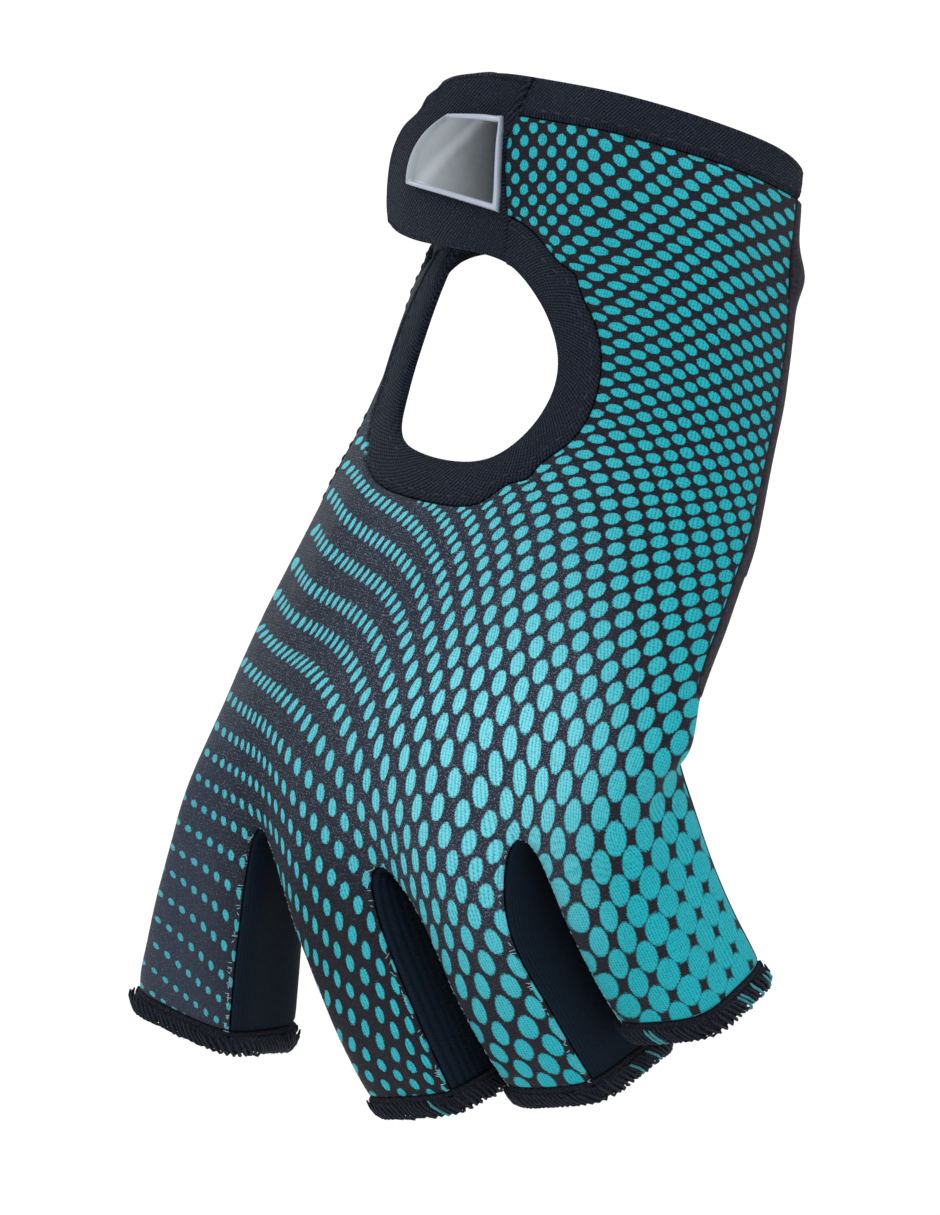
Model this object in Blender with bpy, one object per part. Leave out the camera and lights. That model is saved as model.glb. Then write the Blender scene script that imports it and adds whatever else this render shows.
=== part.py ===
"""A fingerless weightlifting glove in its worn form, made of separate cloth pieces.

One smooth skin is worked out first from tables of sections. Every cloth piece is then a
patch of that skin, given its own thickness, with a fine gap to its neighbours.
All tables are in millimetres and degrees. Z is up along the wrist, the back of the hand
faces -Y, the thumb side is -X. The origin is the middle of the wrist opening.
"""
import math

import bpy
import numpy as np
from mathutils import Vector
from mathutils.bvhtree import BVHTree

MM = 0.001

# Cloth thicknesses and fits
GAP = 0.40                 # free space between two sewn pieces
PRINT_THICK = 1.4          # printed stretch knit on the back
SUEDE_THICK = 1.8          # microsuede of the palm
SIDE_THICK = 1.2           # knit between the fingers
BIND_THICK = 2.2           # folded edge tape
BIND_WIDTH = 7.0           # width of the tape round the holes
LANDING_THICK = 1.2        # cuff end under the closure tab
TAB_THICK = 1.7            # closure tab
HEM_THICK = 2.4            # overlocked finger edges
PAD_THICK = 1.4            # heel pad of the palm
BADGE_BED = 0.9            # middle of the badge
BADGE_RIM = 1.5            # raised frame of the badge
BADGE_RIM_WIDTH = 1.2
HEM_HEIGHT = 3.6
WEB_EASE = 0.25            # extra clearance of the pieces between the fingers

# Rows of the skin from the wrist edge down to the knuckles
ROWS = (
    # name, z, back_tilt, little_rise, half_width, half_depth, centre_x, centre_y
    ("cuff_edge",    4.5, 2.5, 0.0, 31.2, 20.7, 0.9, 2.5),
    ("cuff_seam",    -1.0, 1.8, 0.0, 31.0, 20.5, 1.1, 2.7),
    ("strap_middle", -7.0, 0.8, 0.0, 31.3, 20.3, 1.5, 3.1),
    ("strap_lower",  -14.0, 0.3, 0.0, 30.9, 20.1, 3.0, 3.7),
    ("hole_top",     -21.0, 0.0, 0.0, 30.9, 19.9, 4.3, 4.3),
    ("hole_upper",   -31.0, 0.0, 0.0, 31.9, 19.5, 4.7, 4.8),
    ("hole_lower",   -42.0, 0.0, 0.0, 33.2, 19.0, 4.2, 4.9),
    ("hole_bottom",  -52.5, 0.0, 0.5, 34.8, 18.4, 3.3, 4.5),
    ("hand_upper",   -61.0, 0.0, 1.5, 35.9, 17.9, 2.4, 3.8),
    ("hand_middle",  -73.0, 0.0, 4.0, 37.2, 17.0, 0.7, 2.9),
    ("hand_lower",   -86.0, 0.0, 7.0, 38.5, 16.0, -0.7, 1.7),
    ("knuckles",     -98.5, 0.0, 11.0, 40.0, 14.9, -1.1, 0.6),
)

# Angle of every column round the hand: 0 is the middle of the back, + is the little finger
COLUMNS = (
    # name, at_wrist, at_knuckles
    ("thumb_corner",    -74, -71),
    ("index_back",      -48, -51),
    ("web_1_back",      -36, -37),
    ("middle_back",     -22, -20),
    ("web_2_back",       -9,  -3),
    ("ring_back",         9,  12),
    ("web_3_back",       21,  25),
    ("little_back",      42,  43),
    ("little_corner",    64,  66),
    ("little_side",      84,  92),
    ("little_palm_edge", 104, 115),
    ("little_palm",     122, 135),
    ("web_3_palm",      140, 152),
    ("ring_palm",       158, 166),
    ("web_2_palm",      176, 180),
    ("middle_palm",     192, 197),
    ("web_1_palm",      208, 215),
    ("index_palm",      226, 231),
    ("thumb_palm_edge", 244, 250),
    ("thumb_side",      264, 268),
)
N_COL = len(COLUMNS)
LAST = len(ROWS) - 1

# Holes in the skin: first and last row and column of the opening, middle, half sizes
HOLES = (
    # name, row_0, row_1, col_0, col_1, angle, z, left, right, half_height, left_square
    ("keyhole", 4, 7,  2,  5, -12.5, -37.2, 16.3, 13.2, 15.9, 3.4),
    ("thumb",   4, 8, 16, 19, 233.0, -42.5, 19.0, 16.5, 25.0, 2.4),
)

# Finger stalls: middle of the root and of the open end, half sizes there, bow of the back
FINGERS = (
    # name, root_x, root_y, root_z, end_x, end_y, end_z, root_w, root_d, end_w, end_d, bow, slant
    ("index",  -33.8, 1.5, -110.0, -38.8, 14.0, -148.5,  7.0, 10.5, 10.2, 10.6, 1.5,  5.0),
    ("middle", -16.2, 0.5, -110.0,   1.0, 24.5, -149.0,  9.4, 11.0,  8.9, 10.4, 2.0,  3.0),
    ("ring",     7.2, 0.5, -107.0,  23.2, 27.0, -140.0,  8.6, 11.0,  9.5, 10.0, 2.0,  3.5),
    ("little",  28.2, 1.0,  -98.0,  42.0, 21.5, -126.0,  8.9, 10.5,  8.9,  8.6, 1.5,  1.0),
)
# Section of a stall: eight points, in halves of its width and depth
STALL_SECTION = (
    # side, back
    (-0.90, 0.86), (0.0, 1.0), (0.90, 0.86), (1.0, 0.0),
    (0.90, -0.86), (0.0, -1.0), (-0.90, -0.86), (-1.0, 0.0),
)
STALL_STEPS = (0.24, 0.5, 0.76)     # rings between the root and the hem

# Webs between the fingers: back, middle and palm point of each
WEBS = (
    # x_back, y_back, z_back, x_mid, y_mid, z_mid, x_palm, y_palm, z_palm
    (-27.0, -5.5, -114.0, -26.8, 3.5, -115.5, -26.5, 11.5, -112.5),
    ( -4.2, -5.0, -115.0,  -4.0, 4.0, -116.0,  -4.0, 12.0, -111.0),
    ( 17.5, -5.5, -104.5,  17.8, 3.5, -105.5,  17.8, 11.5, -102.0),
)

# Closure tab: columns past the strap, by row, and how far they stand off the cuff
TAB_ANGLES = (
    # row, step_1, step_2, step_3, step_4
    (0, -19, -29, -38, -44),
    (1, -20, -31, -42, -51),
    (2, -21, -33, -45, -57),
    (3, -22, -35, -48, -61),
    (4, -22, -34, -46, -57),
)
TAB_SAG = (
    # row, step_1, step_2, step_3, step_4: how far each point hangs below its row
    (0, 0.2, 1.0, 2.6, 5.4),
    (1, 0.1, 0.5, 1.2, 2.6),
    (2, 0.0, 0.2, 0.4, 0.8),
    (3, 0.0, 0.0, 0.0, 0.0),
    (4, 0.0, 0.0, -0.4, -2.6),
)
TAB_LIFT = (1.3, 2.8, 3.7, 4.5)
LANDING_DROP = {3: -1.0, 2: -1.0, 1: -0.6}
LANDING_RISE = 2.5

# Badge plate on the tab: angle and height of its four corners, and the bulge of its left edge
BADGE = (
    # corner, angle, z
    ("top_left",    -33.5,  -1.2),
    ("top_right",   -13.5,  -0.4),
    ("low_right",   -13.0, -14.4),
    ("low_left",    -47.0, -13.0),
)
BADGE_BULGE = 3.0

# Heel pad of the palm: rows and columns of the skin that it covers
PAD_ROWS = (5, 8)
PAD_COLS = (10, 12)

COLOURS = {
    "print": (0.03, 0.42, 0.48, 1.0),
    "black": (0.012, 0.014, 0.020, 1.0),
    "navy": (0.010, 0.012, 0.022, 1.0),
    "suede": (0.045, 0.042, 0.052, 1.0),
    "badge": (0.25, 0.28, 0.31, 1.0),
}


def row_point(row, angle, z=None, lift=0.0):
    """Point of the hand skin at an angle of a row, or of the rows next to a height z."""
    if z is None:
        name, height, tilt, rise, wide, deep, cx, cy = ROWS[row]
    else:
        heights = [r[1] for r in ROWS][::-1]
        height = z
        tilt, rise, wide, deep, cx, cy = (
            float(np.interp(z, heights, [r[k] for r in ROWS][::-1])) for k in range(2, 8))
    t = math.radians(angle)
    x = cx + (wide + lift) * math.sin(t)
    y = cy - (deep + lift) * math.cos(t)
    if z is None:
        side = min(max(x / 38.0, 0.0), 1.0)
        height = height + tilt * math.cos(t) + rise * side * side * (3 - 2 * side)
    return [x, y, height]


def angle_of(col, row):
    """Angle of a column in a row: wrist angles down to row 8, knuckle angles at the last."""
    name, at_wrist, at_knuckles = COLUMNS[col % N_COL]
    share = min(max((row - 8) / (LAST - 8), 0.0), 1.0)
    return at_wrist + (at_knuckles - at_wrist) * share


def hole_ring(hole, grow):
    """Rows and columns of a ring round a hole with the points they go to."""
    name, r0, r1, c0, c1, angle, z, left, right, high, square = hole
    r0, r1, c0, c1 = r0 - grow, r1 + grow, c0 - grow, c1 + grow
    wide = BIND_WIDTH * grow
    rows, cols = r1 - r0, c1 - c0
    ring = [(r0, c0 + k, 135 - 90 * k / cols) for k in range(cols)]
    ring += [(r0 + k, c1, 45 - 90 * k / rows) for k in range(rows)]
    ring += [(r1, c1 - k, -45 - 90 * k / cols) for k in range(cols)]
    ring += [(r1 - k, c0, -135 - 90 * k / rows) for k in range(rows)]
    found = {}
    for row, col, turn in ring:
        c, s = math.cos(math.radians(turn)), math.sin(math.radians(turn))
        power = 2 / (square if c < 0 else 2.0)
        half = left if c < 0 else right
        across = (half + wide) * math.copysign(abs(c) ** power, c)
        up = (high + wide) * math.copysign(abs(s) ** power, s)
        found[(row, col % N_COL)] = arc_point(angle, z + up, across)
    return found


def arc_point(angle, z, across):
    """Point that lies a length across, along the section at height z, from an angle."""
    steps = 24
    for _ in range(steps):
        here = np.array(row_point(0, angle, z))
        there = np.array(row_point(0, angle + 1.0, z))
        angle += (across / steps) / np.linalg.norm(there - here)
    return row_point(0, angle, z)


class Net:
    """Named points joined by four-sided faces, each with the name of its piece."""

    def __init__(self):
        self.index = {}
        self.points = []
        self.faces = []
        self.names = []

    def put(self, key, point):
        if key not in self.index:
            self.index[key] = len(self.points)
            self.points.append(list(point))
        else:
            self.points[self.index[key]] = list(point)

    def face(self, piece, *keys):
        self.faces.append([self.index[k] for k in keys])
        self.names.append(piece)


def edges_of(faces):
    """Every edge with the faces that use it."""
    found = {}
    for f, face in enumerate(faces):
        for k in range(len(face)):
            a, b = face[k], face[(k + 1) % len(face)]
            found.setdefault((min(a, b), max(a, b)), []).append(f)
    return found


def limit_weights(count, faces):
    """Matrix that takes the net's points to where the smooth skin passes."""
    edges = edges_of(faces)
    around = [set() for _ in range(count)]
    rim = [set() for _ in range(count)]
    for (a, b), used in edges.items():
        around[a].add(b)
        around[b].add(a)
        if len(used) == 1:
            rim[a].add(b)
            rim[b].add(a)
    across = [set() for _ in range(count)]
    for face in faces:
        for k in range(4):
            across[face[k]].add(face[(k + 2) % 4])
    weights = np.zeros((count, count))
    for v in range(count):
        if rim[v]:
            weights[v, v] = 4 / 6
            for n in rim[v]:
                weights[v, n] += 1 / 6
        else:
            n = len(around[v])
            total = n * (n + 5)
            weights[v, v] = n * n / total
            for k in around[v]:
                weights[v, k] += 4 / total
            for k in across[v]:
                weights[v, k] += 1 / total
    return weights


def refine(points, faces, names):
    """One round of smooth splitting: every face becomes four."""
    edges = edges_of(faces)
    middles = np.array([points[f].mean(axis=0) for f in faces])
    keys = list(edges)
    number = {k: i for i, k in enumerate(keys)}
    mids = []
    for a, b in keys:
        used = edges[(a, b)]
        if len(used) == 2:
            mids.append((points[a] + points[b] + middles[used[0]] + middles[used[1]]) / 4)
        else:
            mids.append((points[a] + points[b]) / 2)
    count = len(points)
    rim = [[] for _ in range(count)]
    near = [[] for _ in range(count)]
    patch = [[] for _ in range(count)]
    for (a, b), used in edges.items():
        near[a].append(b)
        near[b].append(a)
        if len(used) == 1:
            rim[a].append(b)
            rim[b].append(a)
    for f, face in enumerate(faces):
        for v in face:
            patch[v].append(f)
    moved = np.empty_like(points)
    for v in range(count):
        if rim[v]:
            moved[v] = 0.75 * points[v] + 0.125 * sum(points[n] for n in rim[v])
        else:
            n = len(near[v])
            ring = sum((points[v] + points[k]) / 2 for k in near[v]) / n
            face = sum(middles[f] for f in patch[v]) / n
            moved[v] = (face + 2 * ring + (n - 3) * points[v]) / n
    fresh = np.vstack([moved, np.array(mids), middles])
    quads, tags = [], []
    for f, face in enumerate(faces):
        hub = count + len(keys) + f
        for k in range(4):
            a, b, c = face[k - 1], face[k], face[(k + 1) % 4]
            before = count + number[(min(a, b), max(a, b))]
            after = count + number[(min(b, c), max(b, c))]
            quads.append([b, after, hub, before])
            tags.append(names[f])
    return fresh, quads, tags


def build_net():
    """The whole glove as a coarse net of named faces."""
    net = Net()
    for row in range(LAST + 1):
        for col in range(N_COL):
            lift = LANDING_DROP.get(col, 0.0) if row <= 4 else 0.0
            net.put((row, col), row_point(row, angle_of(col, row), lift=lift))
    for hole in HOLES:
        for grow in (1, 0):
            for key, point in hole_ring(hole, grow).items():
                if not (hole[0] == "keyhole" and key[0] <= 4 and key[1] in LANDING_DROP):
                    net.put(key, point)
    for col in (2, 3):
        x, y, z = row_point(4, angle_of(col, 4), lift=LANDING_DROP[col])
        net.put((4, col), (x, y, z + LANDING_RISE))
    add_tab(net)
    add_fingers(net)
    add_body_faces(net)
    return net


def add_tab(net):
    """Points of the closure tab, which carries the strap on over the cuff end."""
    for (row, *angles), (_, *sags) in zip(TAB_ANGLES, TAB_SAG):
        for step, angle in enumerate(angles):
            x, y, z = row_point(row, angle, lift=TAB_LIFT[step])
            net.put(("tab", row, step + 1), (x, y, z - sags[step]))
        net.index[("tab", row, 0)] = net.index[(row, 4)]
    for row in range(4):
        for step in range(4):
            net.face("closure_tab", ("tab", row, step), ("tab", row + 1, step),
                     ("tab", row + 1, step + 1), ("tab", row, step + 1))


def piece_of(row, col):
    """Name of the piece that a face of the hand belongs to, or None for a hole."""
    if row < 4 and col == 3:
        return None
    for hole, piece in zip(HOLES, ("keyhole_binding", "thumb_binding")):
        name, r0, r1, c0, c1 = hole[:5]
        if r0 <= row < r1 and c0 <= col < c1:
            return None
        in_ring = r0 - 1 <= row <= r1 and c0 - 1 <= col <= c1
        if name == "keyhole" and row == 3 and col < 4:
            in_ring = False
        if name == "thumb" and col == 0:
            in_ring = False
        if in_ring:
            return piece
    if HOLES[1][1] - 1 <= row <= HOLES[1][2] and col == N_COL - 1:
        return "thumb_binding"
    if row == 0:
        return "cuff_binding"
    if row < 4 and (col < 4 or col == N_COL - 1):
        return "closure_landing"
    edge = 10 if row >= 10 else 9
    if col < edge or col == N_COL - 1:
        return "back_panel"
    on_heel = PAD_ROWS[0] <= row < PAD_ROWS[1] and PAD_COLS[0] <= col < PAD_COLS[1]
    return "palm_panel.heel" if on_heel else "palm_panel"


def add_body_faces(net):
    for row in range(LAST):
        for col in range(N_COL):
            piece = piece_of(row, col)
            if piece:
                after = (col + 1) % N_COL
                net.face(piece, (row, col), (row + 1, col), (row + 1, after), (row, after))


def stall_frame(finger):
    """Root, end, and the side, back and length directions of a finger stall."""
    name, rx, ry, rz, ex, ey, ez = finger[:7]
    root, end = np.array([rx, ry, rz]), np.array([ex, ey, ez])
    along = (end - root) / np.linalg.norm(end - root)
    side = np.array([1.0, 0.0, 0.0]) - along[0] * along
    side /= np.linalg.norm(side)
    back = np.cross(along, side)
    return root, end, side, back, along


def add_fingers(net):
    """Root ring, webs and stalls of the four fingers."""
    base = LAST + 1
    for w, web in enumerate(WEBS):
        net.put((base, 2 * w + 2), web[0:3])
        net.put(("web", w), web[3:6])
        net.put((base, 16 - 2 * w), web[6:9])
    for f, finger in enumerate(FINGERS):
        root, end, side, back, along = stall_frame(finger)
        name, root_w, root_d, end_w, end_d, bow, slant = finger[0], *finger[7:13]
        length = np.linalg.norm(end - root)
        steps = [0.0, *STALL_STEPS, 1.0 - HEM_HEIGHT / length, 1.0]
        columns = [2 * f, 2 * f + 1, 2 * f + 2, None, 16 - 2 * f, 17 - 2 * f, 18 - 2 * f, None]
        for s, share in enumerate(steps):
            wide = root_w + (end_w - root_w) * share
            deep = root_d + (end_d - root_d) * share
            middle = root + (end - root) * share + back * bow * 4 * share * (1 - share)
            for k, (u, v) in enumerate(STALL_SECTION):
                key = ("stall", f, s, k)
                point = middle + side * wide * u + back * deep * v
                point = point + along * slant * share * (1 - v) / 2
                if s > 0:
                    net.put(key, point)
                    continue
                if k == 3:
                    shared = ("web", f) if f < 3 else (base, 9)
                elif k == 7:
                    shared = ("web", f - 1) if f > 0 else (base, 19)
                else:
                    shared = (base, columns[k])
                if shared not in net.index:
                    net.put(shared, point)
                net.index[key] = net.index[shared]
        for s in range(len(steps) - 1):
            for k in range(8):
                if s == len(steps) - 2:
                    piece = "hem_" + name
                elif k in (0, 1) or (k in (2, 3) and f == 3) or (k == 7 and f == 0):
                    piece = "back_panel"
                elif k in (4, 5) or (k == 6 and f == 0):
                    piece = "palm_panel"
                elif k in (2, 3):
                    piece = "fourchette_" + name + "_" + FINGERS[f + 1][0]
                else:
                    piece = "fourchette_" + FINGERS[f - 1][0] + "_" + name
                n = (k + 1) % 8
                net.face(piece, ("stall", f, s, k), ("stall", f, s + 1, k),
                         ("stall", f, s + 1, n), ("stall", f, s, n))
    for col in range(N_COL):
        after = (col + 1) % N_COL
        piece = "back_panel" if (col < 10 or col == N_COL - 1) else "palm_panel"
        net.face(piece, (LAST, col), (base, col), (base, after), (LAST, after))


def sheet_of(name):
    """The piece that a face is cut from, without the patch that lies over it."""
    return name.split(".")[0]


def ease_seams(points, faces, names):
    """Evens out the seam lines between the pieces, without drawing them tighter."""
    near = {}
    for (a, b), used in edges_of(faces).items():
        if len(used) == 1 or sheet_of(names[used[0]]) != sheet_of(names[used[1]]):
            near.setdefault(a, []).append(b)
            near.setdefault(b, []).append(a)
    line = {v: n for v, n in near.items() if len(n) == 2}
    for turn in range(6):
        share = 0.45 if turn % 2 == 0 else -0.43
        moved = points.copy()
        for v, (a, b) in line.items():
            moved[v] += share * ((points[a] + points[b]) / 2 - points[v])
        points = moved
    return points


def smooth_skin(net, rounds):
    """Refined points, faces, piece names and point normals of the net."""
    used = sorted({v for face in net.faces for v in face})
    number = {v: i for i, v in enumerate(used)}
    target = np.array(net.points)[used]
    faces, names = [[number[v] for v in face] for face in net.faces], net.names
    weights = limit_weights(len(target), faces)
    points = target.copy()
    for _ in range(5):
        points += target - weights @ points
    for _ in range(rounds):
        points, faces, names = refine(points, faces, names)
        points = ease_seams(points, faces, names)
    normals = np.zeros_like(points)
    for face in faces:
        a, b, c, d = points[face]
        normals[face] += np.cross(c - a, d - b)
    normals /= np.linalg.norm(normals, axis=1)[:, None]
    return points, faces, names, normals


def shell(points, faces, normals, chosen, inner, outer, shrink):
    """Closed cloth patch: the chosen faces between two offsets, its border drawn in."""
    used = sorted({v for f in chosen for v in faces[f]})
    local = {v: i for i, v in enumerate(used)}
    quads = [[local[v] for v in faces[f]] for f in chosen]
    base = points[used].copy()
    norm = normals[used]
    follow = {}
    for quad in quads:
        for k in range(4):
            follow[(quad[k], quad[(k + 1) % 4])] = quad
    rim = [(a, b) for (a, b) in follow if (b, a) not in follow]
    push = np.zeros_like(base)
    for a, b in rim:
        along = base[b] - base[a]
        inward = np.cross(norm[a] + norm[b], along)
        inward /= np.linalg.norm(inward)
        for v in (a, b):
            push[v] += inward
    size = np.maximum(np.linalg.norm(push, axis=1), 0.6)[:, None]
    base = base + push / size * np.minimum(shrink * 2 / size, shrink * 2.2)
    count = len(base)
    solid = np.vstack([base + norm * outer, base + norm * inner])
    out = [q[:] for q in quads]
    out += [[v + count for v in reversed(q)] for q in quads]
    out += [[b, a, a + count, b + count] for a, b in rim]
    return solid, out


def add_object(name, points, faces, colour, rough):
    mesh = bpy.data.meshes.new(name)
    mesh.from_pydata([tuple(float(c) * MM for c in p) for p in points], [], faces)
    mesh.validate()
    mesh.shade_smooth()
    material = bpy.data.materials.new(name + "_cloth")
    material.use_nodes = True
    shader = material.node_tree.nodes["Principled BSDF"]
    shader.inputs["Base Color"].default_value = COLOURS[colour]
    shader.inputs["Roughness"].default_value = rough
    mesh.materials.append(material)
    obj = bpy.data.objects.new(name, mesh)
    bpy.context.scene.collection.objects.link(obj)
    return obj


def badge_plate(points, faces, names):
    """Plate with a raised frame that lies on the tab."""
    tab = [f for f, n in zip(faces, names) if n == "closure_tab"]
    tree = BVHTree.FromPolygons([Vector(p) for p in points], tab)
    corners = {n: (a, z) for n, a, z in BADGE}
    across, down = 12, 9
    grid = []
    for i in range(down + 1):
        v = i / down
        left = [(1 - v) * a + v * b for a, b in zip(corners["top_left"], corners["low_left"])]
        right = [(1 - v) * a + v * b for a, b in zip(corners["top_right"], corners["low_right"])]
        left[0] -= BADGE_BULGE * 4 * v * (1 - v)
        for k in range(across + 1):
            u = k / across
            angle = left[0] * (1 - u) + right[0] * u
            z = left[1] * (1 - u) + right[1] * u
            axis = Vector((2.8, 3.3, z))
            t = math.radians(angle)
            ray = Vector((32.5 * math.sin(t), -20.3 * math.cos(t), 0.0)).normalized()
            hit, normal, face, dist = tree.ray_cast(axis, ray)
            if normal.dot(ray) < 0:
                normal = -normal
            grid.append((np.array(hit), np.array(normal), u, v))
    place = np.array([g[0] for g in grid])
    face_up = np.array([g[1] for g in grid]).reshape(down + 1, across + 1, 3)
    for _ in range(3):
        padded = np.pad(face_up, ((1, 1), (1, 1), (0, 0)), mode="edge")
        face_up = (padded[:-2, 1:-1] + padded[2:, 1:-1] + padded[1:-1, :-2]
                   + padded[1:-1, 2:] + 2 * padded[1:-1, 1:-1])
        face_up /= np.linalg.norm(face_up, axis=2)[:, :, None]
    normal = face_up.reshape(-1, 3)
    bed = TAB_THICK / 2 + GAP
    heights = []
    for g in grid:
        edge = min(g[2] * 20, (1 - g[2]) * 20, g[3] * 14, (1 - g[3]) * 14)
        heights.append(BADGE_RIM if edge < BADGE_RIM_WIDTH * 1.4 else BADGE_BED)
    heights = np.array(heights)[:, None]
    top = place + normal * (bed + heights)
    low = place + normal * bed
    count = len(grid)
    quads = []
    for i in range(down):
        for k in range(across):
            a = i * (across + 1) + k
            quads.append([a, a + across + 1, a + across + 2, a + 1])
    follow = {(q[k], q[(k + 1) % 4]) for q in quads for k in range(4)}
    rim = [(a, b) for a, b in follow if (b, a) not in follow]
    rim.sort()
    out = [q[:] for q in quads]
    out += [[v + count for v in reversed(q)] for q in quads]
    out += [[b, a, a + count, b + count] for a, b in rim]
    return np.vstack([top, low]), out


PIECES = (
    # name, inner offset, outer offset, colour, roughness
    ("back_panel",               -PRINT_THICK / 2, PRINT_THICK / 2, "print", 0.6),
    ("palm_panel",               -SUEDE_THICK / 2, SUEDE_THICK / 2, "suede", 0.9),
    ("fourchette_index_middle",  -SIDE_THICK / 2, SIDE_THICK / 2, "navy", 0.7),
    ("fourchette_middle_ring",   -SIDE_THICK / 2, SIDE_THICK / 2, "navy", 0.7),
    ("fourchette_ring_little",   -SIDE_THICK / 2, SIDE_THICK / 2, "navy", 0.7),
    ("cuff_binding",             -BIND_THICK / 2, BIND_THICK / 2, "black", 0.8),
    ("keyhole_binding",          -BIND_THICK / 2, BIND_THICK / 2, "black", 0.8),
    ("thumb_binding",            -BIND_THICK / 2, BIND_THICK / 2, "black", 0.8),
    ("closure_tab",              -TAB_THICK / 2, TAB_THICK / 2, "black", 0.8),
    ("closure_landing",          -LANDING_THICK / 2, LANDING_THICK / 2, "navy", 0.8),
    ("heel_pad", SUEDE_THICK / 2 + GAP, SUEDE_THICK / 2 + GAP + PAD_THICK, "black", 0.8),
    ("hem_index",                -HEM_THICK / 2, HEM_THICK / 2, "black", 0.8),
    ("hem_middle",               -HEM_THICK / 2, HEM_THICK / 2, "black", 0.8),
    ("hem_ring",                 -HEM_THICK / 2, HEM_THICK / 2, "black", 0.8),
    ("hem_little",               -HEM_THICK / 2, HEM_THICK / 2, "black", 0.8),
)


def main():
    for old in list(bpy.data.objects):
        bpy.data.objects.remove(old, do_unlink=True)
    net = build_net()
    points, faces, names, normals = smooth_skin(net, 1)
    for name, inner, outer, colour, rough in PIECES:
        patch = "palm_panel.heel" if name == "heel_pad" else None
        chosen = [f for f, n in enumerate(names) if n == patch or sheet_of(n) == name]
        shrink = GAP / 2 + (WEB_EASE if name.startswith("fourchette") else 0.0)
        solid, quads = shell(points, faces, normals, chosen, inner, outer, shrink)
        add_object(name, solid, quads, colour, rough)
    solid, quads = badge_plate(points, faces, names)
    add_object("tab_badge", solid, quads, "badge", 0.2)


main()
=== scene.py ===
# %% [markdown]
# # A fingerless weightlifting glove
# The glove is shown as worn, filled out by a hand that isn't there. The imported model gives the
# plain solids of each cloth piece. This lesson dresses them: it works out one fine skin for
# the whole glove, cuts every cloth piece from it, and gives each its thread, nap and shine.

# %% Load the frame
import bpy
import math
import numpy as np
from mathutils import Matrix, Vector, kdtree, noise
from mathutils.bvhtree import BVHTree


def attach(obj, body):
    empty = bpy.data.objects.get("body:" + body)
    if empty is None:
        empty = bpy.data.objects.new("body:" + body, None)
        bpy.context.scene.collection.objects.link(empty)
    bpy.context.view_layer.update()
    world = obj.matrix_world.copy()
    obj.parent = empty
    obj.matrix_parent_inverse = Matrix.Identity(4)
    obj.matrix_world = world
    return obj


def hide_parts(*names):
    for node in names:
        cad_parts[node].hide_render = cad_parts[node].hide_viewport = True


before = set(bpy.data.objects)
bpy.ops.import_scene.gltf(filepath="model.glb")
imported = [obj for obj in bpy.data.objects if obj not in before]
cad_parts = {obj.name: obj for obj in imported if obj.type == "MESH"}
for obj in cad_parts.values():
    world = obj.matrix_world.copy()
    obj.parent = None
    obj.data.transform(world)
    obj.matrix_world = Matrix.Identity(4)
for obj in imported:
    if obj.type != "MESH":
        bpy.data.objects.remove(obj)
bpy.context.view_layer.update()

MM = 0.001
print("solids:", sorted(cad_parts))

# %% [markdown]
# ## Camera
# The glove was photographed from the little-finger side of the back, level with its middle,
# with the fingers swung down to the left. A long lens keeps the fingers from looking big.
# The roll is put into the camera, so that the glove itself stays upright in its own frame.

# %% Camera
PHOTO = (940, 1215)
LENS = 130.0
SCALE = 6.4                 # photo pixels in a millimetre at the origin
AZIMUTH = math.radians(30)
ROLL = math.radians(14)
LOOK_AT = (-2.4, -74.3)     # to the right and up from the origin, in mm

side = Vector((math.cos(AZIMUTH), math.sin(AZIMUTH), 0))
ahead = Vector((-math.sin(AZIMUTH), math.cos(AZIMUTH), 0))
focal = LENS / 36 * PHOTO[1]
away = focal / SCALE
eye = side * LOOK_AT[0] + Vector((0, 0, LOOK_AT[1])) - ahead * away
right = side * math.cos(ROLL) + Vector((0, 0, math.sin(ROLL)))
up = Vector((0, 0, math.cos(ROLL))) - side * math.sin(ROLL)

camera_data = bpy.data.cameras.new("camera")
camera_data.lens = LENS
camera_data.sensor_width = 36
camera_data.clip_start = 0.01
camera_data.clip_end = 50
camera = bpy.data.objects.new("camera", camera_data)
bpy.context.scene.collection.objects.link(camera)
turn = np.array([list(right), list(up), list(-ahead)]).T
camera.matrix_world = Matrix([[*turn[0], eye.x * MM], [*turn[1], eye.y * MM],
                              [*turn[2], eye.z * MM], [0, 0, 0, 1]])
bpy.context.scene.camera = camera
print("camera is", round(away), "mm away")


def photo_place(points):
    """Where points in mm stand in the photograph's frame, in its pixels."""
    off = np.asarray(points) - np.array(eye)
    deep = off @ np.array(ahead)
    across = focal * (off @ np.array(side)) / deep
    down = -focal * off[:, 2] / deep
    c, s = math.cos(ROLL), math.sin(ROLL)
    return np.stack([PHOTO[0] / 2 + c * across - s * down,
                     PHOTO[1] / 2 + s * across + c * down], axis=1)


# %% [markdown]
# ## Shader maths
# A finish is easier to read as a sum than as a web of nodes. This small class wraps a node
# socket, so that `1 - mask` or `rib * 0.3` adds the Math node that it needs. Colours never
# go through it: they are mixed, because a Math node would turn them grey.

# %% Finish: a material as expressions
class Value:
    """One number that changes over the surface."""

    def __init__(self, finish, socket):
        self.finish, self.socket = finish, socket

    def _math(self, kind, *others):
        return self.finish.math(kind, self, *others)

    def __add__(self, other):
        return self._math("ADD", other)

    def __mul__(self, other):
        return self._math("MULTIPLY", other)

    __radd__, __rmul__ = __add__, __mul__

    def __sub__(self, other):
        return self._math("SUBTRACT", other)

    def __rsub__(self, other):
        return self.finish.math("SUBTRACT", other, self)

    def __truediv__(self, other):
        return self._math("DIVIDE", other)


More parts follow.
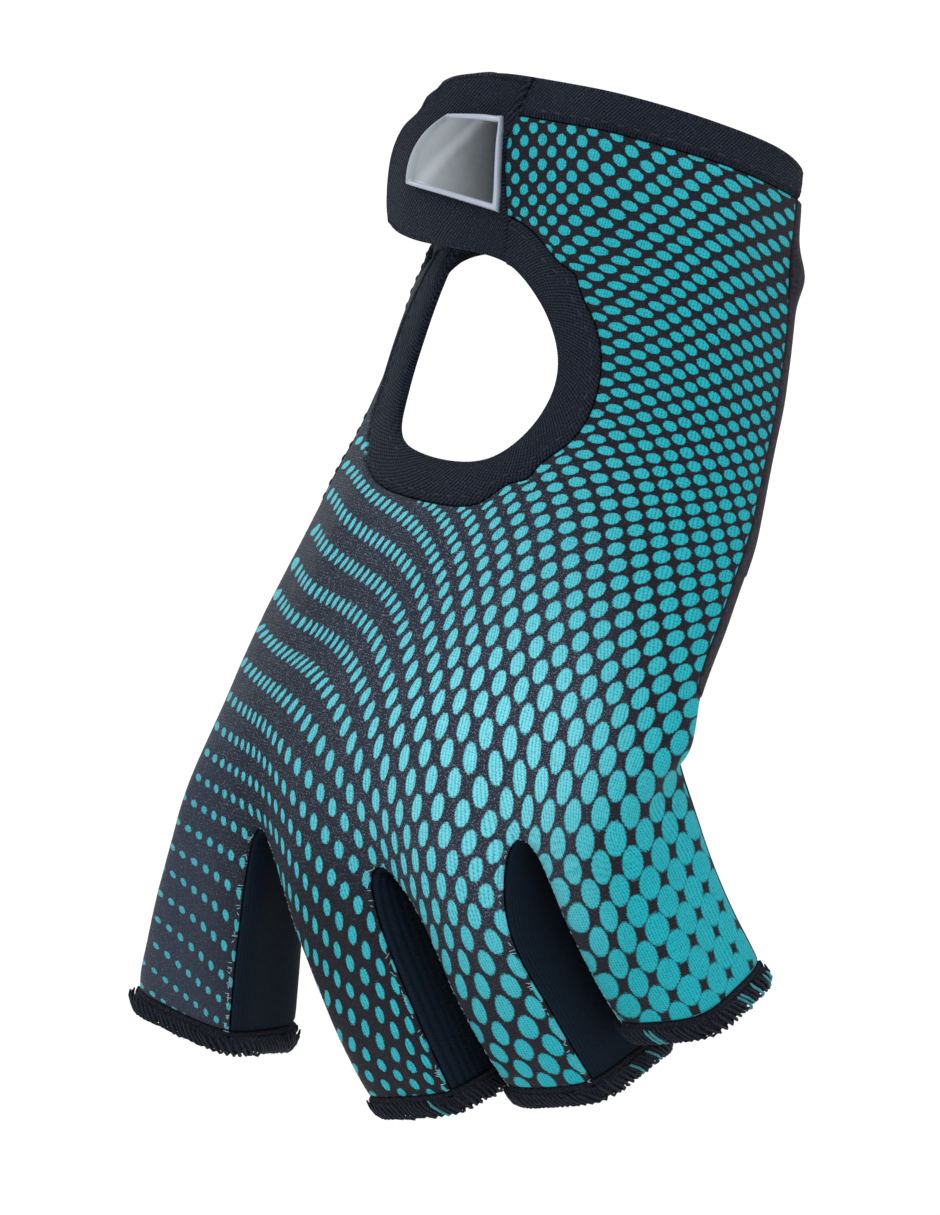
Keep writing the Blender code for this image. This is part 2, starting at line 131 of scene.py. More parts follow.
class Finish:
    """A material with one Principled shader and short ways to feed it."""

    def __init__(self, name, **fixed):
        self.material = bpy.data.materials.new(name)
        self.material.use_nodes = True
        self.tree = self.material.node_tree
        self.shader = self.tree.nodes["Principled BSDF"]
        for key, value in fixed.items():
            self.shader.inputs[key.replace("_", " ")].default_value = value

    def node(self, kind, settings=None, **inputs):
        made = self.tree.nodes.new(kind)
        for key, value in (settings or {}).items():
            setattr(made, key, value)
        for key, value in inputs.items():
            self.feed(made.inputs[int(key[1:]) if key[0] == "_" else key.replace("_", " ")],
                      value)
        return made

    def feed(self, socket, value):
        if isinstance(value, Value):
            value = value.socket
        if isinstance(value, bpy.types.NodeSocket):
            self.tree.links.new(value, socket)
        else:
            socket.default_value = value

    def math(self, kind, *values):
        made = self.tree.nodes.new("ShaderNodeMath")
        made.operation = kind
        for socket, value in zip(made.inputs, values):
            self.feed(socket, value)
        return Value(self, made.outputs[0])

    def uv(self, name):
        """The two numbers of a stored map."""
        made = self.node("ShaderNodeUVMap", {"uv_map": name})
        parts = self.node("ShaderNodeSeparateXYZ", _0=made.outputs[0])
        return Value(self, parts.outputs[0]), Value(self, parts.outputs[1])

    def place(self):
        return self.node("ShaderNodeTexCoord").outputs["Object"]

    def cloud(self, scale, detail=3.0):
        """Noise that changes slowly in space, more often with a larger scale."""
        made = self.node("ShaderNodeTexNoise", Vector=self.place(), Scale=scale,
                         Detail=detail, Roughness=0.55)
        return Value(self, made.outputs[0])

    def between(self, value, low, high, out_low=0.0, out_high=1.0):
        made = self.node("ShaderNodeMapRange", {"interpolation_type": "SMOOTHSTEP"},
                         Value=value, From_Min=low, From_Max=high, To_Min=out_low,
                         To_Max=out_high)
        return Value(self, made.outputs[0])

    def blend(self, share, first, second):
        """A colour between two colours."""
        made = self.tree.nodes.new("ShaderNodeMix")
        made.data_type = "RGBA"
        self.feed(made.inputs[0], share)
        for socket, colour in ((made.inputs[6], first), (made.inputs[7], second)):
            self.feed(socket, (*colour, 1.0) if isinstance(colour, tuple) else colour)
        return made.outputs[2]

    def relief(self, height, depth, strength=1.0, under=None):
        made = self.node("ShaderNodeBump", Height=height, Distance=depth, Strength=strength)
        if under is not None:
            self.feed(made.inputs["Normal"], under)
        return made.outputs[0]

    def wear(self, colour=None, rough=None, normal=None):
        for key, value in (("Base Color", colour), ("Roughness", rough), ("Normal", normal)):
            if value is not None:
                self.feed(self.shader.inputs[key], value)
        return self.material


def linear(code):
    """A colour written as on a paint card, as the numbers that light adds up in."""
    parts = [int(code[k:k + 2], 16) / 255 for k in (1, 3, 5)]
    return tuple(c / 12.92 if c < 0.04045 else ((c + 0.055) / 1.055) ** 2.4 for c in parts)


print("shader helper ready")

# %% [markdown]
# ## Room and light
# A pale sweep of paper, floor and wall in one, gives the plain background. Cloth shows its
# weave under one broad light from the upper left, with a softer one from the right to open
# up the blacks, and an even sky for the rest.

# %% Paper sweep
def paper_sweep():
    floor, bend, back, wide = -0.30, 0.35, 0.75, 4.0
    path = [(-3.0, floor)]
    for k in range(13):
        a = math.radians(90 * k / 12)
        path.append((back + bend * math.sin(a), floor + bend * (1 - math.cos(a))))
    path.append((back + bend, 3.0))
    points, faces = [], []
    for k, (deep, high) in enumerate(path):
        for s in (-wide, wide):
            spot = ahead * deep + side * s
            points.append((spot.x, spot.y, high))
        if k:
            faces.append((2 * k - 2, 2 * k - 1, 2 * k + 1, 2 * k))
    mesh = bpy.data.meshes.new("paper")
    mesh.from_pydata(points, [], faces)
    mesh.shade_smooth()
    paper = bpy.data.objects.new("paper", mesh)
    bpy.context.scene.collection.objects.link(paper)
    finish = Finish("pale_paper", Roughness=0.95)
    grain = finish.cloud(260.0)
    mesh.materials.append(finish.wear(
        colour=finish.blend(grain, linear("#FAFAFA"), linear("#FFFFFF"))))


paper_sweep()


# %% Lights
def soft_light(name, spot, size, power):
    data = bpy.data.lights.new(name, "AREA")
    data.size = size
    data.energy = power
    lamp = bpy.data.objects.new(name, data)
    bpy.context.scene.collection.objects.link(lamp)
    lamp.location = spot
    aim = Vector((0, 0, -0.075)) - Vector(spot)
    lamp.rotation_euler = aim.to_track_quat("-Z", "Y").to_euler()


soft_light("key", tuple(-ahead * 0.9 - side * 0.55 + Vector((0, 0, 0.75))), 0.7, 5.5)
soft_light("fill", tuple(-ahead * 0.8 + side * 0.9 + Vector((0, 0, 0.15))), 0.8, 2.4)
soft_light("back", tuple(ahead * 0.35 - side * 0.75 + Vector((0, 0, 0.35))), 0.5, 1.6)
sky = bpy.data.worlds.new("sky")
sky.use_nodes = True
sky.node_tree.nodes["Background"].inputs[0].default_value = (1.0, 1.0, 1.0, 1.0)
sky.node_tree.nodes["Background"].inputs[1].default_value = 0.85
bpy.context.scene.world = sky
bpy.context.scene.view_settings.view_transform = "Standard"
print("three lights and a sky")

# %% [markdown]
# ## One skin for the whole glove
# Every cloth piece follows the same hand, so one smooth skin is worked out first, from
# sections of the wrist, palm and finger stalls. A coarse net of named faces is refined by
# the rule of subdivision surfaces. Doing it in code, instead of with a modifier, keeps the
# piece name of each face and lets the seams be evened out on the way.

# %% Sizes and tables of the skin, in mm and degrees
# Cloth thicknesses and fits
GAP = 0.40                 # free space between two sewn pieces
PRINT_THICK = 1.4          # printed stretch knit on the back
SUEDE_THICK = 1.8          # microsuede of the palm
SIDE_THICK = 1.2           # knit between the fingers
BIND_THICK = 2.2           # folded edge tape
BIND_WIDTH = 7.0           # width of the tape round the holes
LANDING_THICK = 1.2        # cuff end under the closure tab
TAB_THICK = 1.7            # closure tab
HEM_THICK = 2.4            # overlocked finger edges
PAD_THICK = 0.95           # heel pad of the palm
PAD_CLEAR = 0.06           # free space between the pad and the suede
BADGE_BED = 0.9            # middle of the badge
BADGE_RIM = 1.5            # raised frame of the badge
HEM_HEIGHT = 3.6           # length of a hem along its finger

# Rows of the skin from the wrist edge down to the knuckles
ROWS = (
    # name, z, back_tilt, little_rise, half_width, half_depth, centre_x, centre_y
    ("cuff_edge",    4.5, 2.5, 0.0, 31.2, 20.7, 0.9, 2.5),
    ("cuff_seam",    -1.0, 1.8, 0.0, 31.0, 20.5, 1.1, 2.7),
    ("strap_middle", -7.0, 0.8, 0.0, 31.3, 20.3, 1.5, 3.1),
    ("strap_lower",  -14.0, 0.3, 0.0, 30.9, 20.1, 3.0, 3.7),
    ("hole_top",     -21.0, 0.0, 0.0, 30.9, 19.9, 4.3, 4.3),
    ("hole_upper",   -31.0, 0.0, 0.0, 31.9, 19.5, 4.7, 4.8),
    ("hole_lower",   -42.0, 0.0, 0.0, 33.2, 19.0, 4.2, 4.9),
    ("hole_bottom",  -52.5, 0.0, 0.5, 34.8, 18.4, 3.3, 4.5),
    ("hand_upper",   -61.0, 0.0, 1.5, 35.9, 17.9, 2.4, 3.8),
    ("hand_middle",  -73.0, 0.0, 4.0, 37.2, 17.0, 0.7, 2.9),
    ("hand_lower",   -86.0, 0.0, 7.0, 38.5, 16.0, -0.7, 1.7),
    ("knuckles",     -98.5, 0.0, 11.0, 40.0, 14.9, -1.1, 0.6),
)

# Angle of every column round the hand: 0 is the middle of the back, + is the little finger
COLUMNS = (
    # name, at_wrist, at_knuckles
    ("thumb_corner",    -74, -71),
    ("index_back",      -48, -51),
    ("web_1_back",      -36, -37),
    ("middle_back",     -22, -20),
    ("web_2_back",       -9,  -3),
    ("ring_back",         9,  12),
    ("web_3_back",       21,  25),
    ("little_back",      42,  43),
    ("little_corner",    64,  66),
    ("little_side",      84,  92),
    ("little_palm_edge", 104, 115),
    ("little_palm",     122, 135),
    ("web_3_palm",      140, 152),
    ("ring_palm",       158, 166),
    ("web_2_palm",      176, 180),
    ("middle_palm",     192, 197),
    ("web_1_palm",      208, 215),
    ("index_palm",      226, 231),
    ("thumb_palm_edge", 244, 250),
    ("thumb_side",      264, 268),
)
N_COL = len(COLUMNS)
LAST = len(ROWS) - 1

# Holes in the skin: first and last row and column of the opening, middle, half sizes
HOLES = (
    # name, row_0, row_1, col_0, col_1, angle, z, left, right, half_height, left_square
    ("keyhole", 4, 7,  2,  5, -12.5, -37.2, 16.3, 13.2, 15.9, 3.4),
    ("thumb",   4, 8, 16, 19, 233.0, -42.5, 19.0, 16.5, 25.0, 2.4),
)

# Finger stalls: middle of the root and of the open end, half sizes there, bow of the back
FINGERS = (
    # name, root_x, root_y, root_z, end_x, end_y, end_z, root_w, root_d, end_w, end_d, bow, slant
    ("index",  -33.8, 1.5, -110.0, -38.8, 14.0, -148.5,  7.0, 10.5, 10.2, 10.6, 1.5,  5.0),
    ("middle", -16.2, 0.5, -110.0,   1.0, 24.5, -149.0,  9.4, 11.0,  8.9, 10.4, 2.0,  3.0),
    ("ring",     7.2, 0.5, -107.0,  23.2, 27.0, -140.0,  8.6, 11.0,  9.5, 10.0, 2.0,  3.5),
    ("little",  28.2, 1.0,  -98.0,  42.0, 21.5, -126.0,  8.9, 10.5,  8.9,  8.6, 1.5,  1.0),
)
# Section of a stall: eight points, in halves of its width and depth
STALL_SECTION = (
    # side, back
    (-0.90, 0.86), (0.0, 1.0), (0.90, 0.86), (1.0, 0.0),
    (0.90, -0.86), (0.0, -1.0), (-0.90, -0.86), (-1.0, 0.0),
)
STALL_STEPS = (0.24, 0.5, 0.76)     # rings between the root and the hem

# Webs between the fingers: back, middle and palm point of each
WEBS = (
    # x_back, y_back, z_back, x_mid, y_mid, z_mid, x_palm, y_palm, z_palm
    (-27.0, -5.5, -114.0, -26.8, 3.5, -115.5, -26.5, 11.5, -112.5),
    ( -4.2, -5.0, -115.0,  -4.0, 4.0, -116.0,  -4.0, 12.0, -111.0),
    ( 17.5, -5.5, -104.5,  17.8, 3.5, -105.5,  17.8, 11.5, -102.0),
)

# Closure tab: angles of its columns past the strap, row by row
TAB_ANGLES = (
    # row, step_1, step_2, step_3, step_4
    (0, -19, -29, -37, -42),
    (1, -20, -31, -42, -51),
    (2, -21, -33, -46, -60),
    (3, -22, -35, -50, -66),
    (4, -22, -34, -49, -63),
)
# Where the dressed seams leave the plain rows: the tab's end, the top of the slot and the
# upper end of the seam down the little finger's side
SLIDES = (
    # row, column, degrees round the hand
    (1, 4, -4.0), (2, 4, -5.5), (3, 4, -5.5), (4, 4, -5.5), (3, 5, -5.5), (4, 5, -5.0),
    (3, 6, -3.0), (4, 6, -3.0), (5, 5, -1.5), (5, 6, -1.0),
    (1, 9, 22.0), (2, 9, 22.0), (3, 9, 21.0), (4, 9, 18.0), (5, 9, 15.0), (6, 9, 13.0),
    (7, 9, 11.0), (8, 9, 9.0), (9, 9, 5.0),
    (1, 10, 9.0), (2, 10, 9.0), (3, 10, 9.0), (4, 10, 8.0), (5, 10, 6.0), (6, 10, 5.0),
    (7, 10, 4.0), (8, 10, 3.0),
)
# How the tab leaves the cuff: how far its end flares out row by row, and its share by step
TAB_FLARE = (0.0, 0.3, 1.1, 1.9, 2.1)
FLARE_SHARE = (0.0, 0.1, 0.5, 1.0)
TAB_SAG = (
    # row, step_1, step_2, step_3, step_4: how far each point hangs below its row
    (0, 0.2, 1.0, 2.6, 5.4),
    (1, 0.1, 0.5, 1.2, 2.6),
    (2, 0.0, 0.2, 0.4, 0.8),
    (3, 0.0, 0.0, 0.0, 0.0),
    (4, 0.0, 0.0, -0.4, -2.6),
)
TAB_LIFT = (1.3, 2.8, 3.7, 4.5)             # by step, how far the tab stands off the cuff
LANDING_DROP = {3: -1.0, 2: -1.0, 1: -0.6}  # by column, how deep the cuff end lies
LANDING_RISE = 2.5                          # how far its lower edge is drawn up

# Badge plate on the tab: angle and height of its four corners, and the bulge of its left edge
BADGE = (
    # corner, angle, z
    ("top_left",    -30.0,  -0.9),
    ("top_right",   -17.5,   0.3),
    ("low_right",   -14.0, -14.4),
    ("low_left",    -43.0, -12.2),
)
BADGE_BULGE = 3.0

# Heel pad of the palm: rows and columns of the skin that it covers
PAD_ROWS = (5, 8)
PAD_COLS = (10, 12)


# %% Skin: rows, holes, stalls and seams
def row_point(row, angle, z=None, lift=0.0):
    """Point of the hand skin at an angle of a row, or of the rows next to a height z."""
    if z is None:
        name, height, tilt, rise, wide, deep, cx, cy = ROWS[row]
    else:
        heights = [r[1] for r in ROWS][::-1]
        height = z
        tilt, rise, wide, deep, cx, cy = (
            float(np.interp(z, heights, [r[k] for r in ROWS][::-1])) for k in range(2, 8))
    t = math.radians(angle)
    x = cx + (wide + lift) * math.sin(t)
    y = cy - (deep + lift) * math.cos(t)
    if z is None:
        side = min(max(x / 38.0, 0.0), 1.0)
        height = height + tilt * math.cos(t) + rise * side * side * (3 - 2 * side)
    return [x, y, height]


def angle_of(col, row):
    """Angle of a column in a row: wrist angles down to row 8, knuckle angles at the last."""
    name, at_wrist, at_knuckles = COLUMNS[col % N_COL]
    share = min(max((row - 8) / (LAST - 8), 0.0), 1.0)
    return at_wrist + (at_knuckles - at_wrist) * share


def hole_ring(hole, grow):
    """Rows and columns of a ring round a hole with the points they go to."""
    name, r0, r1, c0, c1, angle, z, left, right, high, square = hole
    r0, r1, c0, c1 = r0 - grow, r1 + grow, c0 - grow, c1 + grow
    wide = BIND_WIDTH * grow
    rows, cols = r1 - r0, c1 - c0
    ring = [(r0, c0 + k, 135 - 90 * k / cols) for k in range(cols)]
    ring += [(r0 + k, c1, 45 - 90 * k / rows) for k in range(rows)]
    ring += [(r1, c1 - k, -45 - 90 * k / cols) for k in range(cols)]
    ring += [(r1 - k, c0, -135 - 90 * k / rows) for k in range(rows)]
    found = {}
    for row, col, turn in ring:
        c, s = math.cos(math.radians(turn)), math.sin(math.radians(turn))
        power = 2 / (square if c < 0 else 2.0)
        half = left if c < 0 else right
        across = (half + wide) * math.copysign(abs(c) ** power, c)
        up = (high + wide) * math.copysign(abs(s) ** power, s)
        found[(row, col % N_COL)] = arc_point(angle, z + up, across)
    return found


def arc_point(angle, z, across):
    """Point that lies a length across, along the section at height z, from an angle."""
    steps = 24
    for _ in range(steps):
        here = np.array(row_point(0, angle, z))
        there = np.array(row_point(0, angle + 1.0, z))
        angle += (across / steps) / np.linalg.norm(there - here)
    return row_point(0, angle, z)


class Net:
    """Named points joined by four-sided faces, each with the name of its piece."""

    def __init__(self):
        self.index = {}
        self.points = []
        self.faces = []
        self.names = []

    def put(self, key, point):
        if key not in self.index:
            self.index[key] = len(self.points)
            self.points.append(list(point))
        else:
            self.points[self.index[key]] = list(point)

    def face(self, piece, *keys):
        self.faces.append([self.index[k] for k in keys])
        self.names.append(piece)


def edges_of(faces):
    """Every edge with the faces that use it."""
    found = {}
    for f, face in enumerate(faces):
        for k in range(len(face)):
            a, b = face[k], face[(k + 1) % len(face)]
            found.setdefault((min(a, b), max(a, b)), []).append(f)
    return found


def neighbours(count, edges):
    """For every point, its neighbours along an open rim and along all its edges."""
    rim = [[] for _ in range(count)]
    near = [[] for _ in range(count)]
    for (a, b), used in edges.items():
        near[a].append(b)
        near[b].append(a)
        if len(used) == 1:
            rim[a].append(b)
            rim[b].append(a)
    return rim, near


def limit_weights(count, faces):
    """Matrix that takes the net's points to where the smooth skin passes."""
    rim, around = neighbours(count, edges_of(faces))
    across = [set() for _ in range(count)]
    for face in faces:
        for k in range(4):
            across[face[k]].add(face[(k + 2) % 4])
    weights = np.zeros((count, count))
    for v in range(count):
        if rim[v]:
            weights[v, v] = 4 / 6
            for n in rim[v]:
                weights[v, n] += 1 / 6
        else:
            n = len(around[v])
            total = n * (n + 5)
            weights[v, v] = n * n / total
            for k in around[v]:
                weights[v, k] += 4 / total
            for k in across[v]:
                weights[v, k] += 1 / total
    return weights


def refine(points, faces, names):
    """One round of smooth splitting: every face becomes four."""
    edges = edges_of(faces)
    middles = np.array([points[f].mean(axis=0) for f in faces])
    keys = list(edges)
    number = {k: i for i, k in enumerate(keys)}
    mids = []
    for a, b in keys:
        used = edges[(a, b)]
        if len(used) == 2:
            mids.append((points[a] + points[b] + middles[used[0]] + middles[used[1]]) / 4)
        else:
            mids.append((points[a] + points[b]) / 2)
    count = len(points)
    rim, near = neighbours(count, edges)
    patch = [[] for _ in range(count)]
    for f, face in enumerate(faces):
        for v in face:
            patch[v].append(f)
    moved = np.empty_like(points)
    for v in range(count):
        if rim[v]:
            moved[v] = 0.75 * points[v] + 0.125 * sum(points[n] for n in rim[v])
        else:
            n = len(near[v])
            ring = sum((points[v] + points[k]) / 2 for k in near[v]) / n
            face = sum(middles[f] for f in patch[v]) / n
            moved[v] = (face + 2 * ring + (n - 3) * points[v]) / n
    fresh = np.vstack([moved, np.array(mids), middles])
    quads, tags = [], []
    for f, face in enumerate(faces):
        hub = count + len(keys) + f
        for k in range(4):
            a, b, c = face[k - 1], face[k], face[(k + 1) % 4]
            before = count + number[(min(a, b), max(a, b))]
            after = count + number[(min(b, c), max(b, c))]
            quads.append([b, after, hub, before])
            tags.append(names[f])
    return fresh, quads, tags


def slide(row, turn, point):
    """The point moved round the hand by an angle, at the same height and lift."""
    name, height, tilt, rise, wide, deep, cx, cy = ROWS[row]
    a, b = (point[0] - cx) / wide, (cy - point[1]) / deep
    c, s = math.cos(math.radians(turn)), math.sin(math.radians(turn))
    return [cx + wide * (a * c + b * s), cy - deep * (b * c - a * s), point[2]]


def build_net():
    """The whole glove as a coarse net of named faces."""
    net = Net()
    for row in range(LAST + 1):
        for col in range(N_COL):
            lift = LANDING_DROP.get(col, 0.0) if row <= 4 else 0.0
            net.put((row, col), row_point(row, angle_of(col, row), lift=lift))
    for hole in HOLES:
        for grow in (1, 0):
            for key, point in hole_ring(hole, grow).items():
                if not (hole[0] == "keyhole" and key[0] <= 4 and key[1] in LANDING_DROP):
                    net.put(key, point)
    for col in (2, 3):
        x, y, z = row_point(4, angle_of(col, 4), lift=LANDING_DROP[col])
        net.put((4, col), (x, y, z + LANDING_RISE))
    for row, col, turn in SLIDES:
        net.put((row, col), slide(row, turn, net.points[net.index[(row, col)]]))
    add_tab(net)
    add_fingers(net)
    add_body_faces(net)
    return net


def add_tab(net):
    """Points of the closure tab, which carries the strap on over the cuff end."""
    for (row, *angles), (_, *sags) in zip(TAB_ANGLES, TAB_SAG):
        for step, angle in enumerate(angles):
            flare = TAB_FLARE[row] * FLARE_SHARE[step]
            x, y, z = row_point(row, angle, lift=TAB_LIFT[step] + flare)
            net.put(("tab", row, step + 1), (x, y, z - sags[step]))
        net.index[("tab", row, 0)] = net.index[(row, 4)]
    for row in range(4):
        for step in range(4):
            net.face("closure_tab", ("tab", row, step), ("tab", row + 1, step),
                     ("tab", row + 1, step + 1), ("tab", row, step + 1))


def piece_of(row, col):
    """Name of the piece that a face of the hand belongs to, or None for a hole."""
    if row < 4 and col == 3:
        return None
    for hole, piece in zip(HOLES, ("keyhole_binding", "thumb_binding")):
        name, r0, r1, c0, c1 = hole[:5]
        if r0 <= row < r1 and c0 <= col < c1:
            return None
        in_ring = r0 - 1 <= row <= r1 and c0 - 1 <= col <= c1
        if name == "keyhole" and row == 3 and col < 4:
            in_ring = False
        if name == "thumb" and col == 0:
            in_ring = False
        if in_ring:
            return piece
    if HOLES[1][1] - 1 <= row <= HOLES[1][2] and col == N_COL - 1:
        return "thumb_binding"
    if row == 0:
        return "cuff_binding"
    if row < 4 and (col < 4 or col == N_COL - 1):
        return "closure_landing"
    edge = 10 if row >= 10 else 9
    if col < edge or col == N_COL - 1:
        return "back_panel"
    on_heel = PAD_ROWS[0] <= row < PAD_ROWS[1] and PAD_COLS[0] <= col < PAD_COLS[1]
    return "palm_panel.heel" if on_heel else "palm_panel"


def add_body_faces(net):
    for row in range(LAST):
        for col in range(N_COL):
            piece = piece_of(row, col)
            if piece:
                after = (col + 1) % N_COL
                net.face(piece, (row, col), (row + 1, col), (row + 1, after), (row, after))


def stall_frame(finger):
    """Root, end, and the side, back and length directions of a finger stall."""
    name, rx, ry, rz, ex, ey, ez = finger[:7]
    root, end = np.array([rx, ry, rz]), np.array([ex, ey, ez])
    along = (end - root) / np.linalg.norm(end - root)
    side = np.array([1.0, 0.0, 0.0]) - along[0] * along
    side /= np.linalg.norm(side)
    back = np.cross(along, side)
    return root, end, side, back, along


def add_fingers(net):
    """Root ring, webs and stalls of the four fingers."""
    base = LAST + 1
    for w, web in enumerate(WEBS):
        net.put((base, 2 * w + 2), web[0:3])
        net.put(("web", w), web[3:6])
        net.put((base, 16 - 2 * w), web[6:9])
    for f, finger in enumerate(FINGERS):
        root, end, side, back, along = stall_frame(finger)
        name, root_w, root_d, end_w, end_d, bow, slant = finger[0], *finger[7:13]
        length = np.linalg.norm(end - root)
        steps = [0.0, *STALL_STEPS, 1.0 - HEM_HEIGHT / length, 1.0]
        columns = [2 * f, 2 * f + 1, 2 * f + 2, None, 16 - 2 * f, 17 - 2 * f, 18 - 2 * f, None]
        for s, share in enumerate(steps):
            wide = root_w + (end_w - root_w) * share
            deep = root_d + (end_d - root_d) * share
            middle = root + (end - root) * share + back * bow * 4 * share * (1 - share)
            for k, (u, v) in enumerate(STALL_SECTION):
                key = ("stall", f, s, k)
                point = middle + side * wide * u + back * deep * v
                point = point + along * slant * share * (1 - v) / 2
                if s > 0:
                    net.put(key, point)
                    continue
                if k == 3:
                    shared = ("web", f) if f < 3 else (base, 9)
                elif k == 7:
                    shared = ("web", f - 1) if f > 0 else (base, 19)
                else:
                    shared = (base, columns[k])
                if shared not in net.index:
                    net.put(shared, point)
                net.index[key] = net.index[shared]
        for s in range(len(steps) - 1):
            for k in range(8):
                if s == len(steps) - 2:
                    piece = "hem_" + name
                elif k in (0, 1) or (k in (2, 3) and f == 3) or (k == 7 and f == 0):
                    piece = "back_panel"
                elif k in (4, 5) or (k == 6 and f == 0):
                    piece = "palm_panel"
                elif k in (2, 3):
                    piece = "fourchette_" + name + "_" + FINGERS[f + 1][0]
                else:
                    piece = "fourchette_" + FINGERS[f - 1][0] + "_" + name
                n = (k + 1) % 8
                net.face(piece, ("stall", f, s, k), ("stall", f, s + 1, k),
                         ("stall", f, s + 1, n), ("stall", f, s, n))
    for col in range(N_COL):
        after = (col + 1) % N_COL
        piece = "back_panel" if (col < 10 or col == N_COL - 1) else "palm_panel"
        net.face(piece, (LAST, col), (base, col), (base, after), (LAST, after))


def sheet_of(name):
    """The piece that a face is cut from, without the patch that lies over it."""
    return name.split(".")[0]


def ease_seams(points, faces, names):
    """Evens out the seam lines between the pieces, without drawing them tighter."""
    near = {}
    for (a, b), used in edges_of(faces).items():
        if len(used) == 1 or sheet_of(names[used[0]]) != sheet_of(names[used[1]]):
            near.setdefault(a, []).append(b)
            near.setdefault(b, []).append(a)
    line = {v: n for v, n in near.items() if len(n) == 2}
    for turn in range(6):
        share = 0.45 if turn % 2 == 0 else -0.43
        moved = points.copy()
        for v, (a, b) in line.items():
            moved[v] += share * ((points[a] + points[b]) / 2 - points[v])
        points = moved
    return points


def smooth_skin(net, rounds):
    """Refined points, faces, piece names and point normals of the net."""
    used = sorted({v for face in net.faces for v in face})
    number = {v: i for i, v in enumerate(used)}
    target = np.array(net.points)[used]
    faces, names = [[number[v] for v in face] for face in net.faces], net.names
    weights = limit_weights(len(target), faces)
    points = target.copy()
    for _ in range(5):
        points += target - weights @ points
    for _ in range(rounds):
        points, faces, names = refine(points, faces, names)
        points = ease_seams(points, faces, names)
    normals = np.zeros((len(points), 3))
    for face in faces:
        a, b, c, d = points[face][:, :3]
        normals[face] += np.cross(c - a, d - b)
    normals /= np.linalg.norm(normals, axis=1)[:, None]
    return points, faces, names, normals


# %% [markdown]
# ## Flat cloth coordinates
# The knit was printed while it lay flat, and then it was cut, sewn and stretched over a hand.
# So every point of the skin also remembers its place on the flat cloth, across and down, in
# millimetres. Prints, ribs and naps are drawn there, and they bend with the cloth by themselves.

# %% Flat cloth coordinates
def arc_to(angle):
    """Length along the knuckle section from the middle of the back to an angle."""
    turns = np.linspace(0, angle, 60)
    line = np.array([row_point(LAST, t)[:2] for t in turns])
    return math.copysign(np.linalg.norm(np.diff(line, axis=0), axis=1).sum(), angle)


ROUND_STALL = (-8.5, 0.0, 8.5, 17.0, 26.0, 34.0, -26.0, -17.0)


def flat_place(key, point):
    """Across the back, across the palm, down, and across a side piece, of a net point."""
    if key[0] == "web":
        w = key[1]
        return [arc_to((-37, -3, 25)[w]), arc_to((215, 180, 152)[w]), -point[2], 0.0]
    if key[0] == "tab":
        step = [a[key[2]] for a in TAB_ANGLES if a[0] == key[1]][0]
        return [arc_to(step), arc_to(step), -point[2], 0.0]
    if key[0] == "stall":
        f, s, k = key[1:]
        name, rx, ry, rz, ex, ey, ez = FINGERS[f][:7]
        share = [0.0, *STALL_STEPS, 0.93, 1.0][s]
        length = math.dist((rx, ry, rz), (ex, ey, ez))
        back = arc_to(COLUMNS[2 * f + 1][2]) + ROUND_STALL[k]
        palm = arc_to(COLUMNS[17 - 2 * f][2]) - ROUND_STALL[(5 - k + 1) % 8]
        return [back, palm, -rz + length * share, -10.0 * STALL_SECTION[k][1]]
    row, col = key
    angle = angle_of(col, min(row, LAST))
    turned = math.degrees(math.atan2((point[0] - 1) / 33, -(point[1] - 3) / 19))
    if row <= 9:
        angle = angle + ((turned - angle + 180) % 360 - 180)
    around = (angle + 180) % 360 - 180
    palm = angle % 360
    side_place = 0.0 if row <= LAST else -8.6 if col <= 9 else 8.6
    return [arc_to(around), arc_to(palm), -point[2], side_place]


net = build_net()
FLAT = np.zeros((len(net.points), 4))
shared = {n for k, n in net.index.items() if k[0] not in ("stall", "tab")}
for key, number in net.index.items():
    if key[0] in ("stall", "tab") and number in shared:
        continue
    FLAT[number] = flat_place(key, net.points[number])
for number, point in enumerate(net.points):
    net.points[number] = [*point, *FLAT[number]]
skin, quads, names, normals = smooth_skin(net, 3)
flat, skin = np.hstack([skin[:, 3:], skin[:, :3]]), skin[:, :3]
print("skin:", len(skin), "points,", len(quads), "faces")

# %% [markdown]
# A worn glove is never as even as a drawing. A little slow noise, a few tenths of a
# millimetre, lets the light wander over the cloth. It is put into the shared skin, so that
# neighbouring pieces move together and never cut into each other.

# %% Slow unevenness of the cloth
for v in range(len(skin)):
    spot = Vector(skin[v])
    swell = noise.noise(spot / 19.0) * 0.34 + noise.noise(spot / 7.0 + Vector((9, 4, 2))) * 0.12
    skin[v] += normals[v] * swell
print("cloth moved by up to half a millimetre")

# %% [markdown]
# ## From skin to sewn pieces
# A piece is a patch of the skin with a thickness. Its border is not a sharp cut: the cloth
# is turned or rolled there, so three extra rings carry the edge round from the outside to
# the inside. The outside can also be crowned, low at the border and full in the middle, as
# the folded tape is.

# %% Cloth piece with rolled borders
GROOVE_DEPTH, GROOVE_WIDTH = 0.42, 0.55     # dent where one cloth is sewn over another, in mm


def border_of(cells):
    follow = {(c[k], c[(k + 1) % 4]) for c in cells for k in range(4)}
    return sorted((a, b) for a, b in follow if (b, a) not in follow)


def cut(test):
    """The patch of the skin whose piece names pass a test, with its own numbering."""
    cells = [quads[f] for f, n in enumerate(names) if test(n)]
    used = sorted({v for c in cells for v in c})
    local = {v: i for i, v in enumerate(used)}
    return np.array(used), [[local[v] for v in c] for c in cells]


def tree_of(spots):
    """Search tree that finds the nearest of some spots."""
    tree = kdtree.KDTree(len(spots))
    for i, spot in enumerate(spots):
        tree.insert(spot, i)
    tree.balance()
    return tree


